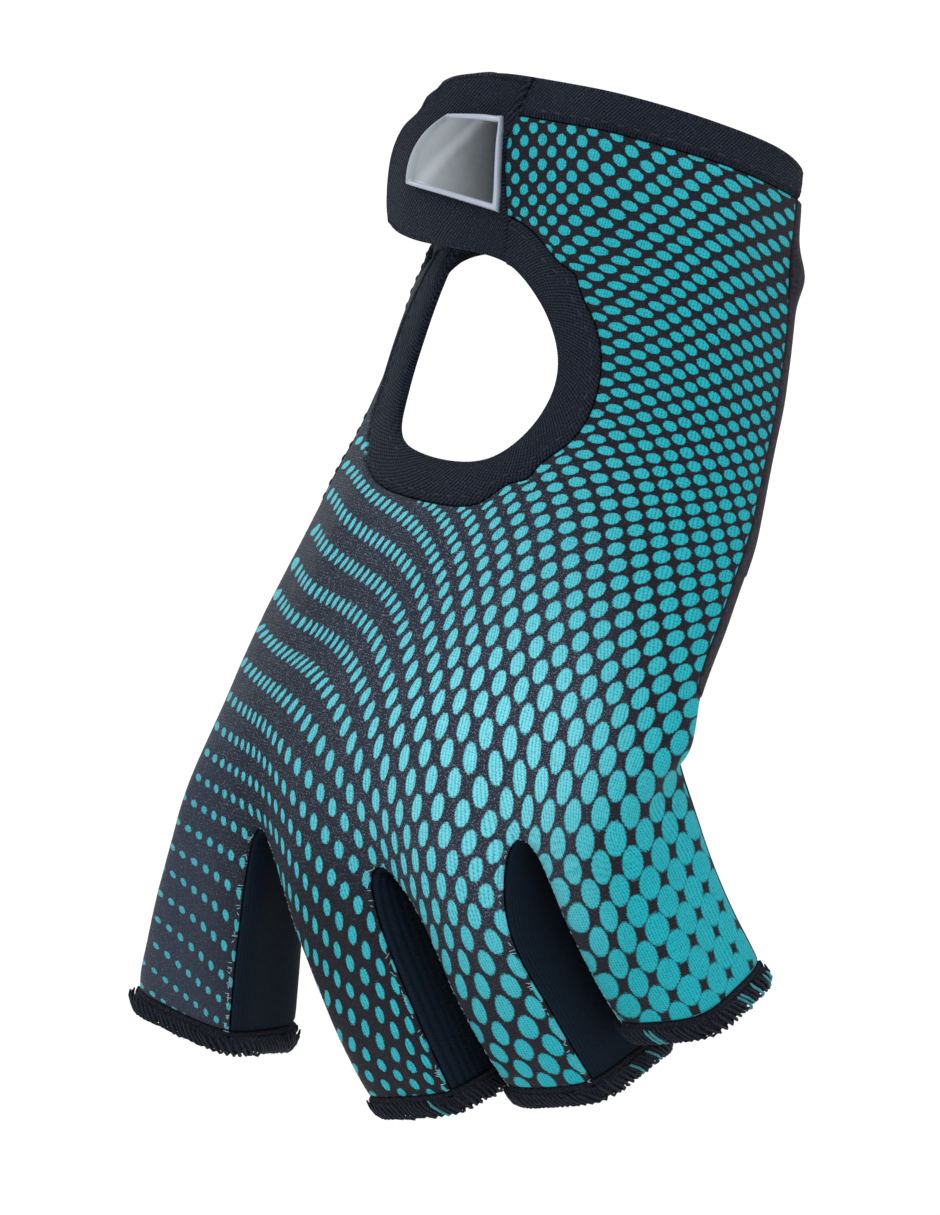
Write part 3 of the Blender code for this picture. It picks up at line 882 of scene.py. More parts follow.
def to_border(points, rim):
    """Distance of every point of a patch to its border."""
    ends = sorted({v for pair in rim for v in pair})
    tree = tree_of([points[v] for v in ends] + [(points[a] + points[b]) / 2 for a, b in rim])
    return np.array([tree.find(p)[2] for p in points])


def ease_fold(base, norm, cells, rim, other, used, reach=3.0, rounds=30):
    """Smooths a patch, in place, near the line that two of its pieces share."""
    fixed = {v for pair in rim for v in pair}
    mine = {v: i for i, v in enumerate(used)}
    shared = [mine[v] for v in other if v in mine]
    ends = np.array([[a, b] for a, b in edges_of(cells)])
    tree = tree_of([base[v] for v in shared])
    near = np.array([tree.find(p)[2] for p in base])
    pull = np.exp(-(near / reach) ** 2)
    pull[list(fixed)] = 0
    degree = np.bincount(ends.ravel(), minlength=len(base))[:, None]
    for field in (base, norm):
        for _ in range(rounds):
            total = np.zeros_like(field)
            np.add.at(total, ends[:, 0], field[ends[:, 1]])
            np.add.at(total, ends[:, 1], field[ends[:, 0]])
            field += (total / degree - field) * pull[:, None] * 0.6
    norm /= np.linalg.norm(norm, axis=1)[:, None]


def cloth(name, inner, outer, shrink, roll=0.4, crown=0.0, crown_width=2.0, patch=None,
          groove=None, ease=None):
    """Points, faces and flat coordinates of a cloth piece."""
    used, cells = cut(patch or (lambda n: sheet_of(n) == name))
    base, norm, lay = skin[used].copy(), normals[used].copy(), flat[used]
    rim = border_of(cells)
    if ease:
        ease_fold(base, norm, cells, rim, cut(ease)[0], used)
    push = np.zeros_like(base)
    for a, b in rim:
        inward = np.cross(norm[a] + norm[b], base[b] - base[a])
        inward /= max(np.linalg.norm(inward), 1e-9)
        push[a] += inward
        push[b] += inward
    size = np.maximum(np.linalg.norm(push, axis=1), 0.6)[:, None]
    way = push / size * np.minimum(2 / size, 2.2)
    far = to_border(base, rim)
    on_rim = np.zeros(len(base), bool)
    on_rim[[v for pair in rim for v in pair]] = True
    rise = outer - crown * np.exp(-far / crown_width)
    if groove:
        rise = rise - GROOVE_DEPTH * np.exp(-((far - groove) / GROOVE_WIDTH) ** 2)
    rise = rise[:, None]
    middle = (inner + outer) / 2
    top = base + norm * rise
    low = base + norm * inner
    inset = way * (shrink + roll)
    top[on_rim] = (base + inset + norm * rise)[on_rim]
    low[on_rim] = (base + inset + norm * inner)[on_rim]
    ring_ids = sorted({v for pair in rim for v in pair})
    count = len(base)
    points = [top, low]
    rings = []
    half = float((outer - inner) / 2)
    for share_in, share_up in ((0.30, 0.80), (0.0, 0.0), (0.30, -0.80)):
        level = middle + half * share_up
        if share_up > 0:
            level = middle + (rise[ring_ids] - middle) * share_up
        spot = base[ring_ids] + way[ring_ids] * (shrink + roll * share_in) + norm[ring_ids] * level
        rings.append({v: 2 * count + len(rings) * len(ring_ids) + i
                      for i, v in enumerate(ring_ids)})
        points.append(spot)
    chain = [{v: v for v in ring_ids}, *rings, {v: v + count for v in ring_ids}]
    faces = [c[:] for c in cells] + [[v + count for v in reversed(c)] for c in cells]
    for first, second in zip(chain[:-1], chain[1:]):
        faces += [[first[b], first[a], second[a], second[b]] for a, b in rim]
    maps = np.vstack([lay, lay] + [lay[ring_ids]] * 3)
    outside = [1] * count + [0] * count + [1] * len(ring_ids) + [0] * 2 * len(ring_ids)
    maps = np.hstack([maps, np.array(outside, float)[:, None]])
    return np.vstack(points), faces, maps


# %% [markdown]
# Making the object is the same for every piece: a mesh in metres, smooth shading, its map
# of flat coordinates, one material; the imported solids it stands for are hidden, and it hangs
# under the root.

# %% Put a piece into the scene
def unwrap(numbers, period):
    """Brings the numbers of one face to the same turn."""
    first = numbers[0]
    return [n - period * round((n - first) / period) for n in numbers]


def make(name, points, faces, finish, maps=None, period=None, stands_for=None):
    mesh = bpy.data.meshes.new(name)
    mesh.from_pydata([tuple(float(c) * MM for c in p) for p in points], [], faces)
    mesh.shade_smooth()
    if maps is not None:
        layer = mesh.uv_layers.new(name="flat")
        for face in mesh.polygons:
            loops = list(face.loop_indices)
            spots = [maps[mesh.loops[i].vertex_index] for i in loops]
            across = [s[0] for s in spots]
            if period:
                across = unwrap(across, period)
            for i, u, spot in zip(loops, across, spots):
                layer.data[i].uv = (u, spot[1])
    mesh.materials.append(finish)
    piece = bpy.data.objects.new(name, mesh)
    bpy.context.scene.collection.objects.link(piece)
    if stands_for:
        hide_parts(*([stands_for] if isinstance(stands_for, str) else stands_for))
    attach(piece, "root")
    return piece


SEAM = 0.05                 # half of the gap between two dressed pieces
print("cloth cutter ready")

# %% [markdown]
# ## The halftone print
# The back carries a common halftone: round dots on a square grid, small towards the index
# finger and so large at the little finger that they run together. Stretching over the hand
# has bent the grid, most of all below the keyhole, where it is pulled into rows of dashes. The
# chart names some dots, line by line: the number of a dot both ways of the grid, and where in
# the photograph it stands. About a quarter of the places, with all of lines -25 to -5, came
# from a helper program that found the dots, and the rest were read off enlarged crops by eye.
# A smooth spline through the chart gives the grid everywhere.

# %% Chart of the print
CHART = (
    # lines of the grid: number across, then (number down, across and down in the photograph)
    (-25, (-30, 686, 164)), (-20, (-25, 719, 267), (-30, 630, 206), (-35, 564, 140)),
    (-15, (-20, 735, 370), (-25, 669, 300), (-30, 570, 250), (-35, 507, 195)),
    (-10, (-15, 721, 461), (-20, 678, 392), (-25, 604, 334)),
    (-5, (-10, 659, 542), (-15, 642, 474), (-20, 589, 415)),
    (-3, (2, 666, 782), (3, 676, 805)),
    (-2, (1, 643, 785), (2, 654, 807), (3, 667, 827), (4, 682, 849), (5, 699, 866)),
    (-1, (0, 617, 786), (1, 628, 811), (2, 642, 835), (4, 674, 875), (6, 707, 910)),
    (0, (0, 602, 813), (-5, 565, 680), (-10, 550, 571), (-15, 535, 496), (2, 631, 862),
     (4, 665, 901), (6, 702, 935), (8, 737, 969)),
    (1, (1, 603, 866), (3, 638, 909), (5, 676, 945), (7, 714, 979)),
    (2, (-2, 550, 815), (1, 593, 891), (3, 629, 935), (5, 669, 972), (6, 688, 989)),
    (3, (2, 602, 939), (4, 641, 979), (5, 661, 996)), (4, (-4, 508, 803), (4, 632, 1003)),
    (5, (-5, 481, 791), (-10, 456, 658), (-13, 449, 605), (-16, 440, 567), (-20, 425, 537),
     (-25, 400, 513), (-29, 378, 498), (-34, 358, 476), (-40, 352, 445)),
    (6, (-10, 438, 682), (-13, 431, 630), (-16, 422, 591), (-20, 404, 560), (-25, 377, 540),
     (-29, 355, 525), (-34, 338, 500), (-38, 335, 480)),
    (7, (-11, 417, 689), (-15, 405, 628), (-18, 394, 601), (-22, 374, 580), (-28, 343, 560),
     (-31, 328, 547), (-34, 320, 532), (-38, 315, 510)),
    (8, (-8, 413, 781), (-11, 397, 716), (-14, 387, 669), (-17, 375, 634), (-20, 360, 617),
     (-24, 338, 603), (-28, 315, 590), (-33, 298, 565), (-37, 294, 545)),
    (9, (-6, 418, 859), (-10, 387, 766), (-13, 372, 711), (-17, 355, 667), (-21, 338, 643),
     (-26, 312, 627), (-30, 290, 611), (-33, 282, 597), (-37, 277, 575), (-3, 451, 935),
     (0, 507, 1005), (1, 530, 1024), (3, 579, 1052)),
    (10, (0, 503, 1031), (-2, 464, 983), (-5, 417, 913), (-10, 378, 799), (-13, 354, 742),
     (-17, 330, 692), (-21, 310, 668), (-26, 285, 652), (-31, 264, 630), (-35, 258, 610),
     (2, 551, 1060), (4, 596, 1083)),
    (11, (-11, 363, 810), (-14, 332, 760), (-18, 303, 714), (-24, 270, 685), (-29, 248, 664),
     (-1, 479, 1030), (1, 526, 1065), (3, 571, 1089)),
    (12, (-10, 374, 854), (-14, 323, 792), (-18, 283, 746), (-22, 262, 722), (-27, 238, 704),
     (-29, 228, 692), (0, 502, 1066), (2, 546, 1093)),
    (13, (-9, 378, 892), (-13, 327, 834), (-17, 287, 787), (-21, 262, 756), (-25, 240, 742),
     (-30, 211, 719)),
    (14, (-9, 372, 921), (-13, 321, 864), (-17, 286, 815), (-21, 259, 785), (-25, 232, 768),
     (-29, 206, 750)),
    (15, (-10, 354, 935), (-14, 308, 880), (-18, 280, 835), (-23, 243, 803), (-28, 202, 779),
     (-7, 400, 972)),
    (16, (-23, 245, 833), (-28, 197, 804), (-11, 339, 949), (-8, 382, 989), (-6, 415, 1011)),
    (17, (-23, 242, 862), (-28, 191, 828), (-10, 352, 989), (-7, 397, 1027), (-5, 432, 1047)),
    (18, (-23, 239, 892), (-28, 185, 854), (-10, 354, 1014), (-7, 398, 1052), (-4, 449, 1081)),
    (19, (-24, 227, 913), (-29, 176, 874), (-9, 369, 1052), (-5, 433, 1091)),
    (20, (-25, 216, 934), (-29, 174, 901), (-9, 372, 1073), (-7, 404, 1091)),
    (21, (-28, 183, 936), (-26, 204, 955), (-8, 394, 1097)),
)
DOT_SIZE = (
    # across, down in the photograph; radius across and along in grid steps; paleness, from stretch
    # and painted sheen
    (190, 880, 0.13, 0.27, 0.50), (170, 980, 0.12, 0.25, 0.50), (215, 760, 0.15, 0.27, 0.55),
    (240, 700, 0.17, 0.28, 0.60), (270, 640, 0.20, 0.29, 0.60), (330, 535, 0.20, 0.29, 0.60),
    (390, 510, 0.23, 0.29, 0.65), (440, 567, 0.28, 0.31, 0.65), (400, 617, 0.26, 0.29, 0.65),
    (310, 722, 0.25, 0.28, 0.62), (294, 826, 0.25, 0.27, 0.55), (350, 900, 0.28, 0.30, 0.45),
    (350, 1000, 0.27, 0.28, 0.40), (420, 1080, 0.30, 0.30, 0.35), (450, 950, 0.36, 0.36, 0.50),
    (456, 658, 0.36, 0.36, 0.75), (510, 740, 0.40, 0.40, 0.95), (520, 200, 0.33, 0.33, 0.35),
    (600, 160, 0.36, 0.36, 0.35), (740, 210, 0.37, 0.37, 0.35), (640, 330, 0.38, 0.38, 0.30),
    (740, 400, 0.38, 0.38, 0.25), (560, 480, 0.37, 0.37, 0.50), (700, 560, 0.42, 0.42, 0.30),
    (600, 700, 0.41, 0.41, 0.60), (560, 850, 0.43, 0.43, 0.60), (680, 760, 0.50, 0.50, 0.35),
    (611, 914, 0.46, 0.46, 0.40),
    (650, 910, 0.50, 0.50, 0.20), (720, 950, 0.54, 0.54, 0.15), (660, 1000, 0.48, 0.48, 0.15),
    (540, 1050, 0.42, 0.42, 0.35), (788, 230, 0.32, 0.32, 0.35), (772, 420, 0.35, 0.35, 0.25),
)


def smooth_field(spots, values, soft):
    """Spline in space through values at places of the skin, bent as little as may be."""
    spots, values = np.array(spots) / 50, np.array(values, float)
    gap = np.linalg.norm(spots[:, None] - spots[None], axis=2)
    plain = np.hstack([np.ones((len(spots), 1)), spots])
    whole = np.vstack([np.hstack([gap ** 3 + soft * np.eye(len(gap)), plain]),
                       np.hstack([plain.T, np.zeros((4, 4))])])
    right_side = np.vstack([values, np.zeros((4, values.shape[1]))])
    weights = np.linalg.solve(whole, right_side)

    def field(places):
        places = np.asarray(places) / 50
        far = np.linalg.norm(places[:, None] - spots[None], axis=2)
        flat_part = np.hstack([np.ones((len(places), 1)), places]) @ weights[-4:]
        return far ** 3 @ weights[:-4] + flat_part

    return field


back_used, back_cells = cut(lambda n: n == "back_panel")
back_tree = BVHTree.FromPolygons([Vector(p) for p in skin[back_used]], back_cells)


def on_cloth(px, py):
    """Place of the cloth, in mm, that shows at a pixel of the photograph, or None."""
    px, py = px - PHOTO[0] / 2, py - PHOTO[1] / 2
    c, s = math.cos(ROLL), math.sin(ROLL)
    ray = ahead * focal + side * (c * px + s * py) - Vector((0, 0, c * py - s * px))
    hit = back_tree.ray_cast(eye, ray.normalized())[0]
    return None if hit is None else np.array(hit)


print("chart:", sum(len(line) - 1 for line in CHART), "dots on", len(CHART), "lines")

# %% Grid of the print on the cloth
charted = [(line[0], *dot) for line in CHART for dot in line[1:]]
charted = [(on_cloth(*row[2:]), row[:2]) for row in charted]
charted = [row for row in charted if row[0] is not None]
places, counted = [row[0] for row in charted], np.array([row[1] for row in charted], float)
grid_field = smooth_field(places, counted, 0.00002)
sized = [(on_cloth(*row[:2]), row[2:]) for row in DOT_SIZE]
sized = [row for row in sized if row[0] is not None]
size_field = smooth_field([row[0] for row in sized], [row[1] for row in sized], 0.001)
STRIP_CORNER = 440, 425     # the cloth left of and above this pixel carries no print
NO_PRINT = -0.17            # factor on the outside flag that takes the dots away there
missed = np.abs(grid_field(places) - counted).max(axis=0)
print(len(charted), "dots on the cloth, held to", missed.round(2), "of a step")


def print_onto(piece, maps):
    """Stores the grid of dots as a map, and their sizes and paleness, from stretch and painted
    sheen, as a colour.
    """
    where = np.asarray(maps)[:, 4:7]
    grid, looks = grid_field(where), size_field(where)
    seen = photo_place(where)
    strip = (seen[:, 0] < STRIP_CORNER[0]) & (seen[:, 1] < STRIP_CORNER[1])
    outside = np.asarray(maps)[:, 7:8] * np.where(strip, NO_PRINT, 1.0)[:, None]
    mesh = piece.data
    layer = mesh.uv_layers.new(name="dots")
    for loop in mesh.loops:
        layer.data[loop.index].uv = grid[loop.vertex_index]
    tone = mesh.attributes.new("looks", "FLOAT_COLOR", "POINT")
    looks = np.clip(looks, (0.11, 0.22, 0.1), (0.61, 0.61, 1))
    tone.data.foreach_set("color", np.hstack([looks, outside]).ravel())


# %% [markdown]
# ## Finishes
# The printed knit is fine jersey: upright ribs of little loops, about nineteen to the
# centimetre, that show as dark and light threads inside every dot. The print sits in the
# yarn, so the dots have slightly ragged edges, and the stretched places look paler, because
# white yarn shows between the loops. The paleness also carries painted sheen, and where the
# dots are small, towards the index finger, the ground and the ink are painted greyer as sheen.

# %% Printed knit
RIB_PITCH = 0.52            # from rib to rib, in mm
LOOP_PITCH = 0.46           # from loop to loop along a rib, in mm
INSIDE_PRINT = 0.15         # share of the print that shows on the inside of the cloth


def printed_knit():
    finish = Finish("printed_knit", Roughness=0.72, Sheen_Weight=0.03, Specular_IOR_Level=0.12)
    m, n = finish.uv("dots")
    across, down = finish.uv("flat")
    looks = finish.node("ShaderNodeAttribute", {"attribute_name": "looks"})
    parts = finish.node("ShaderNodeSeparateColor", Color=looks.outputs["Color"])
    tall, wide, pale = (Value(finish, parts.outputs[k]) for k in range(3))
    outside = Value(finish, looks.outputs["Alpha"])
    rib = finish.math("ABSOLUTE", finish.math("SINE", across * (math.pi / RIB_PITCH)))
    loop = finish.math("SINE", down * (2 * math.pi / LOOP_PITCH) + rib * 2.2)
    ragged = finish.cloud(2300.0, 2.0) - 0.5
    mottle = finish.cloud(3100.0, 1.0)
    dm = finish.math("FRACT", m + 0.5) - 0.5
    dn = finish.math("FRACT", n + 0.5) - 0.5
    dm, dn = dm / tall, dn / wide
    far = finish.math("SQRT", dm * dm + dn * dn)
    far = far + (ragged * 0.11 + loop * 0.02) / wide
    dot = finish.between(far, 0.90, 1.08, 1.0, 0.0)
    # Paleness comes partly from stretch, where white yarn shows, and partly from painted sheen.
    stretch_and_sheen = finish.between(pale, 0.38, 0.70)
    fleck = finish.between(finish.cloud(5200.0, 1.0) + loop * 0.04, 0.56, 0.70)
    thread = finish.between(rib * 0.5 + loop * 0.15 + mottle * 1.1, 0.35, 1.15)
    cloth_black = finish.blend(stretch_and_sheen, linear("#15161E"), linear("#212936"))
    # Painted sheen: where the dots are small, towards the index finger, the ground and the ink are
    # painted greyer and bluer.
    painted_sheen = finish.between(tall, 0.13, 0.21, 1.0, 0.0)
    cloth_black = finish.blend(painted_sheen * 0.8, cloth_black, linear("#2A3241"))
    # Grey flecks on the ground, stronger with stretch and with painted sheen.
    ground = finish.blend(fleck * (stretch_and_sheen * 0.62 + 0.08), cloth_black, linear("#77808F"))
    fresh = finish.blend(thread, linear("#0B7480"), linear("#1BA5B1"))
    # Pale ink for stretched print and for painted sheen.
    stretch_sheen_ink = finish.blend(thread, linear("#3A9CAD"), linear("#7AD3DE"))
    ink = finish.blend(finish.between(pale, 0.25, 0.95), fresh, stretch_sheen_ink)
    ink = finish.blend(painted_sheen * 0.5, ink, linear("#3F7F8E"))
    shows = outside * (1 - INSIDE_PRINT) + INSIDE_PRINT
    colour = finish.blend(dot * shows, ground, ink)
    height = rib * 0.6 + loop * 0.25
    slow = finish.cloud(90.0, 3.0)
    bump = finish.relief(height, 0.00012, 0.5, finish.relief(slow, 0.0012, 0.35))
    return finish.wear(colour=colour, rough=0.66 + rib * 0.14, normal=bump)


# %% [markdown]
# The palm is microsuede: no thread to see, only a short nap that has been stroked this way
# and that, so its grey shifts in soft patches. The edge tape is woven in twill, whose fine
# ribs lean across the tape. The knit between the fingers is plain, almost black and ribbed.

# %% Suede, tape and side knit
def microsuede():
    finish = Finish("microsuede", Roughness=0.95, Sheen_Weight=0.04, Sheen_Roughness=0.5,
                    Specular_IOR_Level=0.04)
    nap, stroke = finish.cloud(3000.0, 3.0), finish.cloud(120.0, 3.0)
    tint = finish.blend(stroke, linear("#19171C"), linear("#29262C"))
    tuft = finish.between(finish.cloud(1500.0, 2.0), 0.35, 0.75)
    colour = finish.blend(nap * 0.4 + tuft * 0.4, tint, linear("#434048"))
    bump = finish.relief(nap, 0.00018, 0.6, finish.relief(stroke, 0.0010, 0.4))
    return finish.wear(colour=colour, rough=0.86 + nap * 0.12, normal=bump)


def twill(name, dark, light, pitch=0.62, lean=0.8):
    finish = Finish(name, Roughness=0.85, Sheen_Weight=0.02, Specular_IOR_Level=0.08)
    along, across = finish.uv("flat")
    wobble = finish.cloud(420.0, 2.0)
    rib = finish.math("SINE", (along + across * lean + wobble * 0.5) * (2 * math.pi / pitch))
    yarn = finish.math("SINE", (along * 0.3 - across) * (2 * math.pi / (pitch * 0.8)))
    fuzz = finish.cloud(3000.0, 2.0)
    height = rib * 0.5 + yarn * 0.22 + 0.5
    woven = finish.blend(height * 0.55 + fuzz * 0.35, linear(dark), linear(light))
    fleck = finish.between(finish.cloud(4300.0, 1.0), 0.60, 0.74)
    colour = finish.blend(fleck * 0.30, woven, linear("#515B6C"))
    bump = finish.relief(height + fuzz * 0.5, 0.00026, 0.9)
    return finish.wear(colour=colour, rough=0.74 + fuzz * 0.16, normal=bump)


def side_knit(name, rib_pitch, rib_depth):
    finish = Finish(name, Roughness=0.85, Sheen_Weight=0.0, Specular_IOR_Level=0.05)
    across, down = finish.uv("flat")
    rib = finish.math("ABSOLUTE", finish.math("SINE", across * (math.pi / rib_pitch)))
    loop = finish.math("SINE", down * (2 * math.pi / 0.5) + rib * 1.5)
    fuzz = finish.cloud(2600.0, 2.0)
    colour = finish.blend(rib * 0.5 + fuzz * 0.4, linear("#050B13"), linear("#16222F"))
    bump = finish.relief(rib + loop * 0.2 + fuzz * 0.2, rib_depth, 0.6)
    return finish.wear(colour=colour, rough=0.72 + fuzz * 0.15, normal=bump)


PRINTED = printed_knit()
SUEDE = microsuede()
TAPE = twill("edge_tape", "#020307", "#2A3243")
PAD_CLOTH = twill("heel_pad_cloth", "#15141A", "#2D2B33", pitch=0.5, lean=0.3)
PLAIN = twill("plain_black_cloth", "#0C0D14", "#232633", pitch=0.45, lean=0.0)
SIDES = side_knit("side_knit", 0.55, 0.0001)
RIBBED = side_knit("ribbed_side_knit", 1.5, 0.0004)
print("finishes mixed")

# %% [markdown]
# ## The back of the glove
# One printed piece runs from the cuff over the backs of the four fingers. It is cut out of
# the shared skin, so that its edges meet the tapes and hems with only a fine gap.

# %% Printed back and suede palm
points, faces, maps = cloth("back_panel", -PRINT_THICK / 2, PRINT_THICK / 2, SEAM)
back = make("printed_back", points, faces, PRINTED, maps[:, [0, 2]],
            stands_for="back_panel")
print_onto(back, maps)


# Where the edge of the suede flares: pixel, reach across and down in pixels, height in mm
SUEDE_LIP = (794, 276, 16, 24, 1.5)
points, faces, maps = cloth("palm_panel", -SUEDE_THICK / 2, SUEDE_THICK / 2, SEAM)
seen = (photo_place(points) - SUEDE_LIP[:2]) / SUEDE_LIP[2:4]
lip = SUEDE_LIP[4] * np.exp(-(seen ** 2).sum(axis=1)) * (points @ np.array(side) > 0)
points = points + lip[:, None] * np.array(side)
palm = make("suede_palm", points, faces, SUEDE, maps[:, [1, 2]],
            stands_for="palm_panel")
palm_cells = len(cut(lambda n: sheet_of(n) == "palm_panel")[1])

# %% Knit between the fingers
for name, finish in (("fourchette_index_middle", SIDES), ("fourchette_middle_ring", RIBBED),
                     ("fourchette_ring_little", SIDES)):
    points, faces, maps = cloth(name, -SIDE_THICK / 2, SIDE_THICK / 2, SEAM + 0.04, 0.3)
    make("side_" + name[11:], points, faces, finish, maps[:, [3, 2]],
         stands_for=name)
print("three side pieces between the fingers")

# %% [markdown]
# ## Edge tapes
# The cuff and the two holes are bound: a tape is folded over the raw edge and sewn down on
# both sides at once. The fold makes it full along the middle and thin at the stitching. Its
# twill ribs follow the tape, so its map runs along the tape instead of down the cloth.

# %% Bindings
def tape(name, stands_for, hole, reach):
    """Tape round a hole. Its map runs round, and is true to length at a reach from the middle."""
    points, faces, maps = cloth(stands_for, -BIND_THICK / 2, BIND_THICK / 2, SEAM, 0.7, 0.5, 2.2)
    angle, z = hole[5:7]
    hub = np.array(row_point(0, angle, z))
    edge = np.array(row_point(0, angle + 1, z)) - hub
    edge /= np.linalg.norm(edge)
    off = points - hub
    around = np.arctan2(off[:, 2], off @ edge) * reach
    away_from = np.linalg.norm(off, axis=1)
    return make(name, points, faces, TAPE, np.stack([around, away_from], axis=1),
                period=2 * math.pi * reach, stands_for=stands_for)


tape("keyhole_tape", "keyhole_binding", HOLES[0], 18.0)
tape("thumb_tape", "thumb_binding", HOLES[1], 22.0)
print("two tapes round the holes")

# %% [markdown]
# On the real glove the cuff tape doesn't stop at the tab: it runs on round its end and comes
# back along its lower edge. So the tape of the cuff and the tab are one dressed piece here,
# which stands for both solids. A shallow groove, a tape's width from the border, shows where
# the tape lies over the tab.

# %% Cuff tape and tab, cuff end and heel pad
def cuff_and_tab():
    wanted = ("cuff_binding", "closure_tab")
    thick = (BIND_THICK + TAB_THICK) / 2
    points, faces, maps = cloth("cuff", -thick / 2, thick / 2, SEAM, 0.7, 0.55, 1.6,
                                patch=lambda n: n in wanted, groove=TAB_TAPE,
                                ease=lambda n: n == "closure_landing")
    piece = make("cuff_tape_and_tab", points, faces, TAPE, maps[:, [0, 2]],
                 stands_for=wanted)
    print("cuff tape and tab:", len(faces), "faces")
    return piece


TAB_TAPE = 5.2              # width of the tape that is folded over the tab's edge
cuff_and_tab()
points, faces, maps = cloth("closure_landing", -LANDING_THICK - 0.4, -0.4, SEAM, 0.3)
make("strap_landing", points, faces, PLAIN, maps[:, [0, 2]], stands_for="closure_landing")
pad_low = SUEDE_THICK / 2 + PAD_CLEAR
points, faces, maps = cloth("heel_pad", pad_low, pad_low + PAD_THICK, GAP / 2, 0.35, 0.75, 3.0,
                            patch=lambda n: n == "palm_panel.heel")
pad = make("palm_heel_pad", points, faces, PAD_CLOTH, maps[:, [1, 2]], stands_for="heel_pad")
print("cuff end and heel pad")

# %% Hem bands
for finger in ("index", "middle", "ring", "little"):
    points, faces, maps = cloth("hem_" + finger, -HEM_THICK / 2, HEM_THICK / 2, SEAM, 0.9)
    make("hem_band_" + finger, points, faces, PLAIN, maps[:, [0, 2]],
         stands_for="hem_" + finger)
print("four hem bands")

# %% [markdown]
# ## The badge
# A moulded patch with a bright frame sits on the tab. Whatever it carried is left off, so
# its middle is a bare dark plate, slightly domed, whose colour holds painted reflection: pale at
# the left, dark to the right, with a pale diagonal streak.

# %% Badge
BADGE_SIZE = (20, 14)       # across and down, in mm
BADGE_CELLS = (96, 66)      # faces across and down
CUFF_MIDDLE = (2.8, 3.3)    # across and deep, where the rays that find the tab start
CUFF_HALVES = (32.5, 20.3)  # half width and half depth of the cuff there


def badge():
    tab = [f for f, n in zip(quads, names) if n == "closure_tab"]
    tree = BVHTree.FromPolygons([Vector(p) for p in skin], tab)
    corners = {n: (a, z) for n, a, z in BADGE}
    across, down = BADGE_CELLS
    place, facing, share = [], [], []
    for i in range(down + 1):
        v = i / down
        left = [(1 - v) * a + v * b for a, b in zip(corners["top_left"], corners["low_left"])]
        right = [(1 - v) * a + v * b for a, b in zip(corners["top_right"], corners["low_right"])]
        left[0] -= BADGE_BULGE * 4 * v * (1 - v)
        for k in range(across + 1):
            u = k / across
            z = left[1] * (1 - u) + right[1] * u
            t = math.radians(left[0] * (1 - u) + right[0] * u)
            ray = Vector((CUFF_HALVES[0] * math.sin(t), -CUFF_HALVES[1] * math.cos(t), 0.0))
            ray.normalize()
            hit, normal, face, dist = tree.ray_cast(Vector((*CUFF_MIDDLE, z)), ray)
            place.append(np.array(hit))
            facing.append(np.array(normal if normal.dot(ray) > 0 else -normal))
            share.append((u, v))
    grid = np.array(facing).reshape(down + 1, across + 1, 3)
    for _ in range(40):
        wide = np.pad(grid, ((1, 1), (1, 1), (0, 0)), mode="edge")
        grid = (wide[:-2, 1:-1] + wide[2:, 1:-1] + wide[1:-1, :-2] + wide[1:-1, 2:]
                + wide[1:-1, 1:-1])
        grid /= np.linalg.norm(grid, axis=2)[:, :, None]
    facing, place = grid.reshape(-1, 3), np.array(place)
    bed = (BIND_THICK + TAB_THICK) / 4 + 0.05
    rise, edge_share = [], []
    for u, v in share:
        edge = min(min(u, 1 - u) * BADGE_SIZE[0], min(v, 1 - v) * BADGE_SIZE[1])
        dome = 1.08 - 0.15 * (2 * u - 1) ** 2 - 0.15 * (2 * v - 1) ** 2
        if edge < 0.35:
            height = BADGE_RIM * (0.55 + 0.45 * math.sqrt(1 - (1 - edge / 0.35) ** 2))
        elif edge < 0.75:
            height = BADGE_RIM
        elif edge < 1.1:
            height = BADGE_RIM + (BADGE_BED * dome - BADGE_RIM) * (edge - 0.75) / 0.35
        else:
            height = BADGE_BED * dome
        rise.append(height)
        edge_share.append(edge)
    top = place + facing * (bed + np.array(rise)[:, None])
    low = place + facing * bed
    count = len(top)
    cells = []
    for i in range(down):
        for k in range(across):
            a = i * (across + 1) + k
            cells.append([a, a + across + 1, a + across + 2, a + 1])
    rim = border_of(cells)
    faces = cells + [[v + count for v in reversed(c)] for c in cells]
    faces += [[b, a, a + count, b + count] for a, b in rim]
    piece = make("strap_badge", np.vstack([top, low]), faces, badge_finish(),
                 np.array(share + share), stands_for="tab_badge")
    tone = piece.data.attributes.new("looks", "FLOAT_COLOR", "POINT")
    flat_tone = [(e / 10, 0, 0, 1) for e in edge_share + [0.0] * count]
    tone.data.foreach_set("color", np.array(flat_tone).ravel())
    return piece


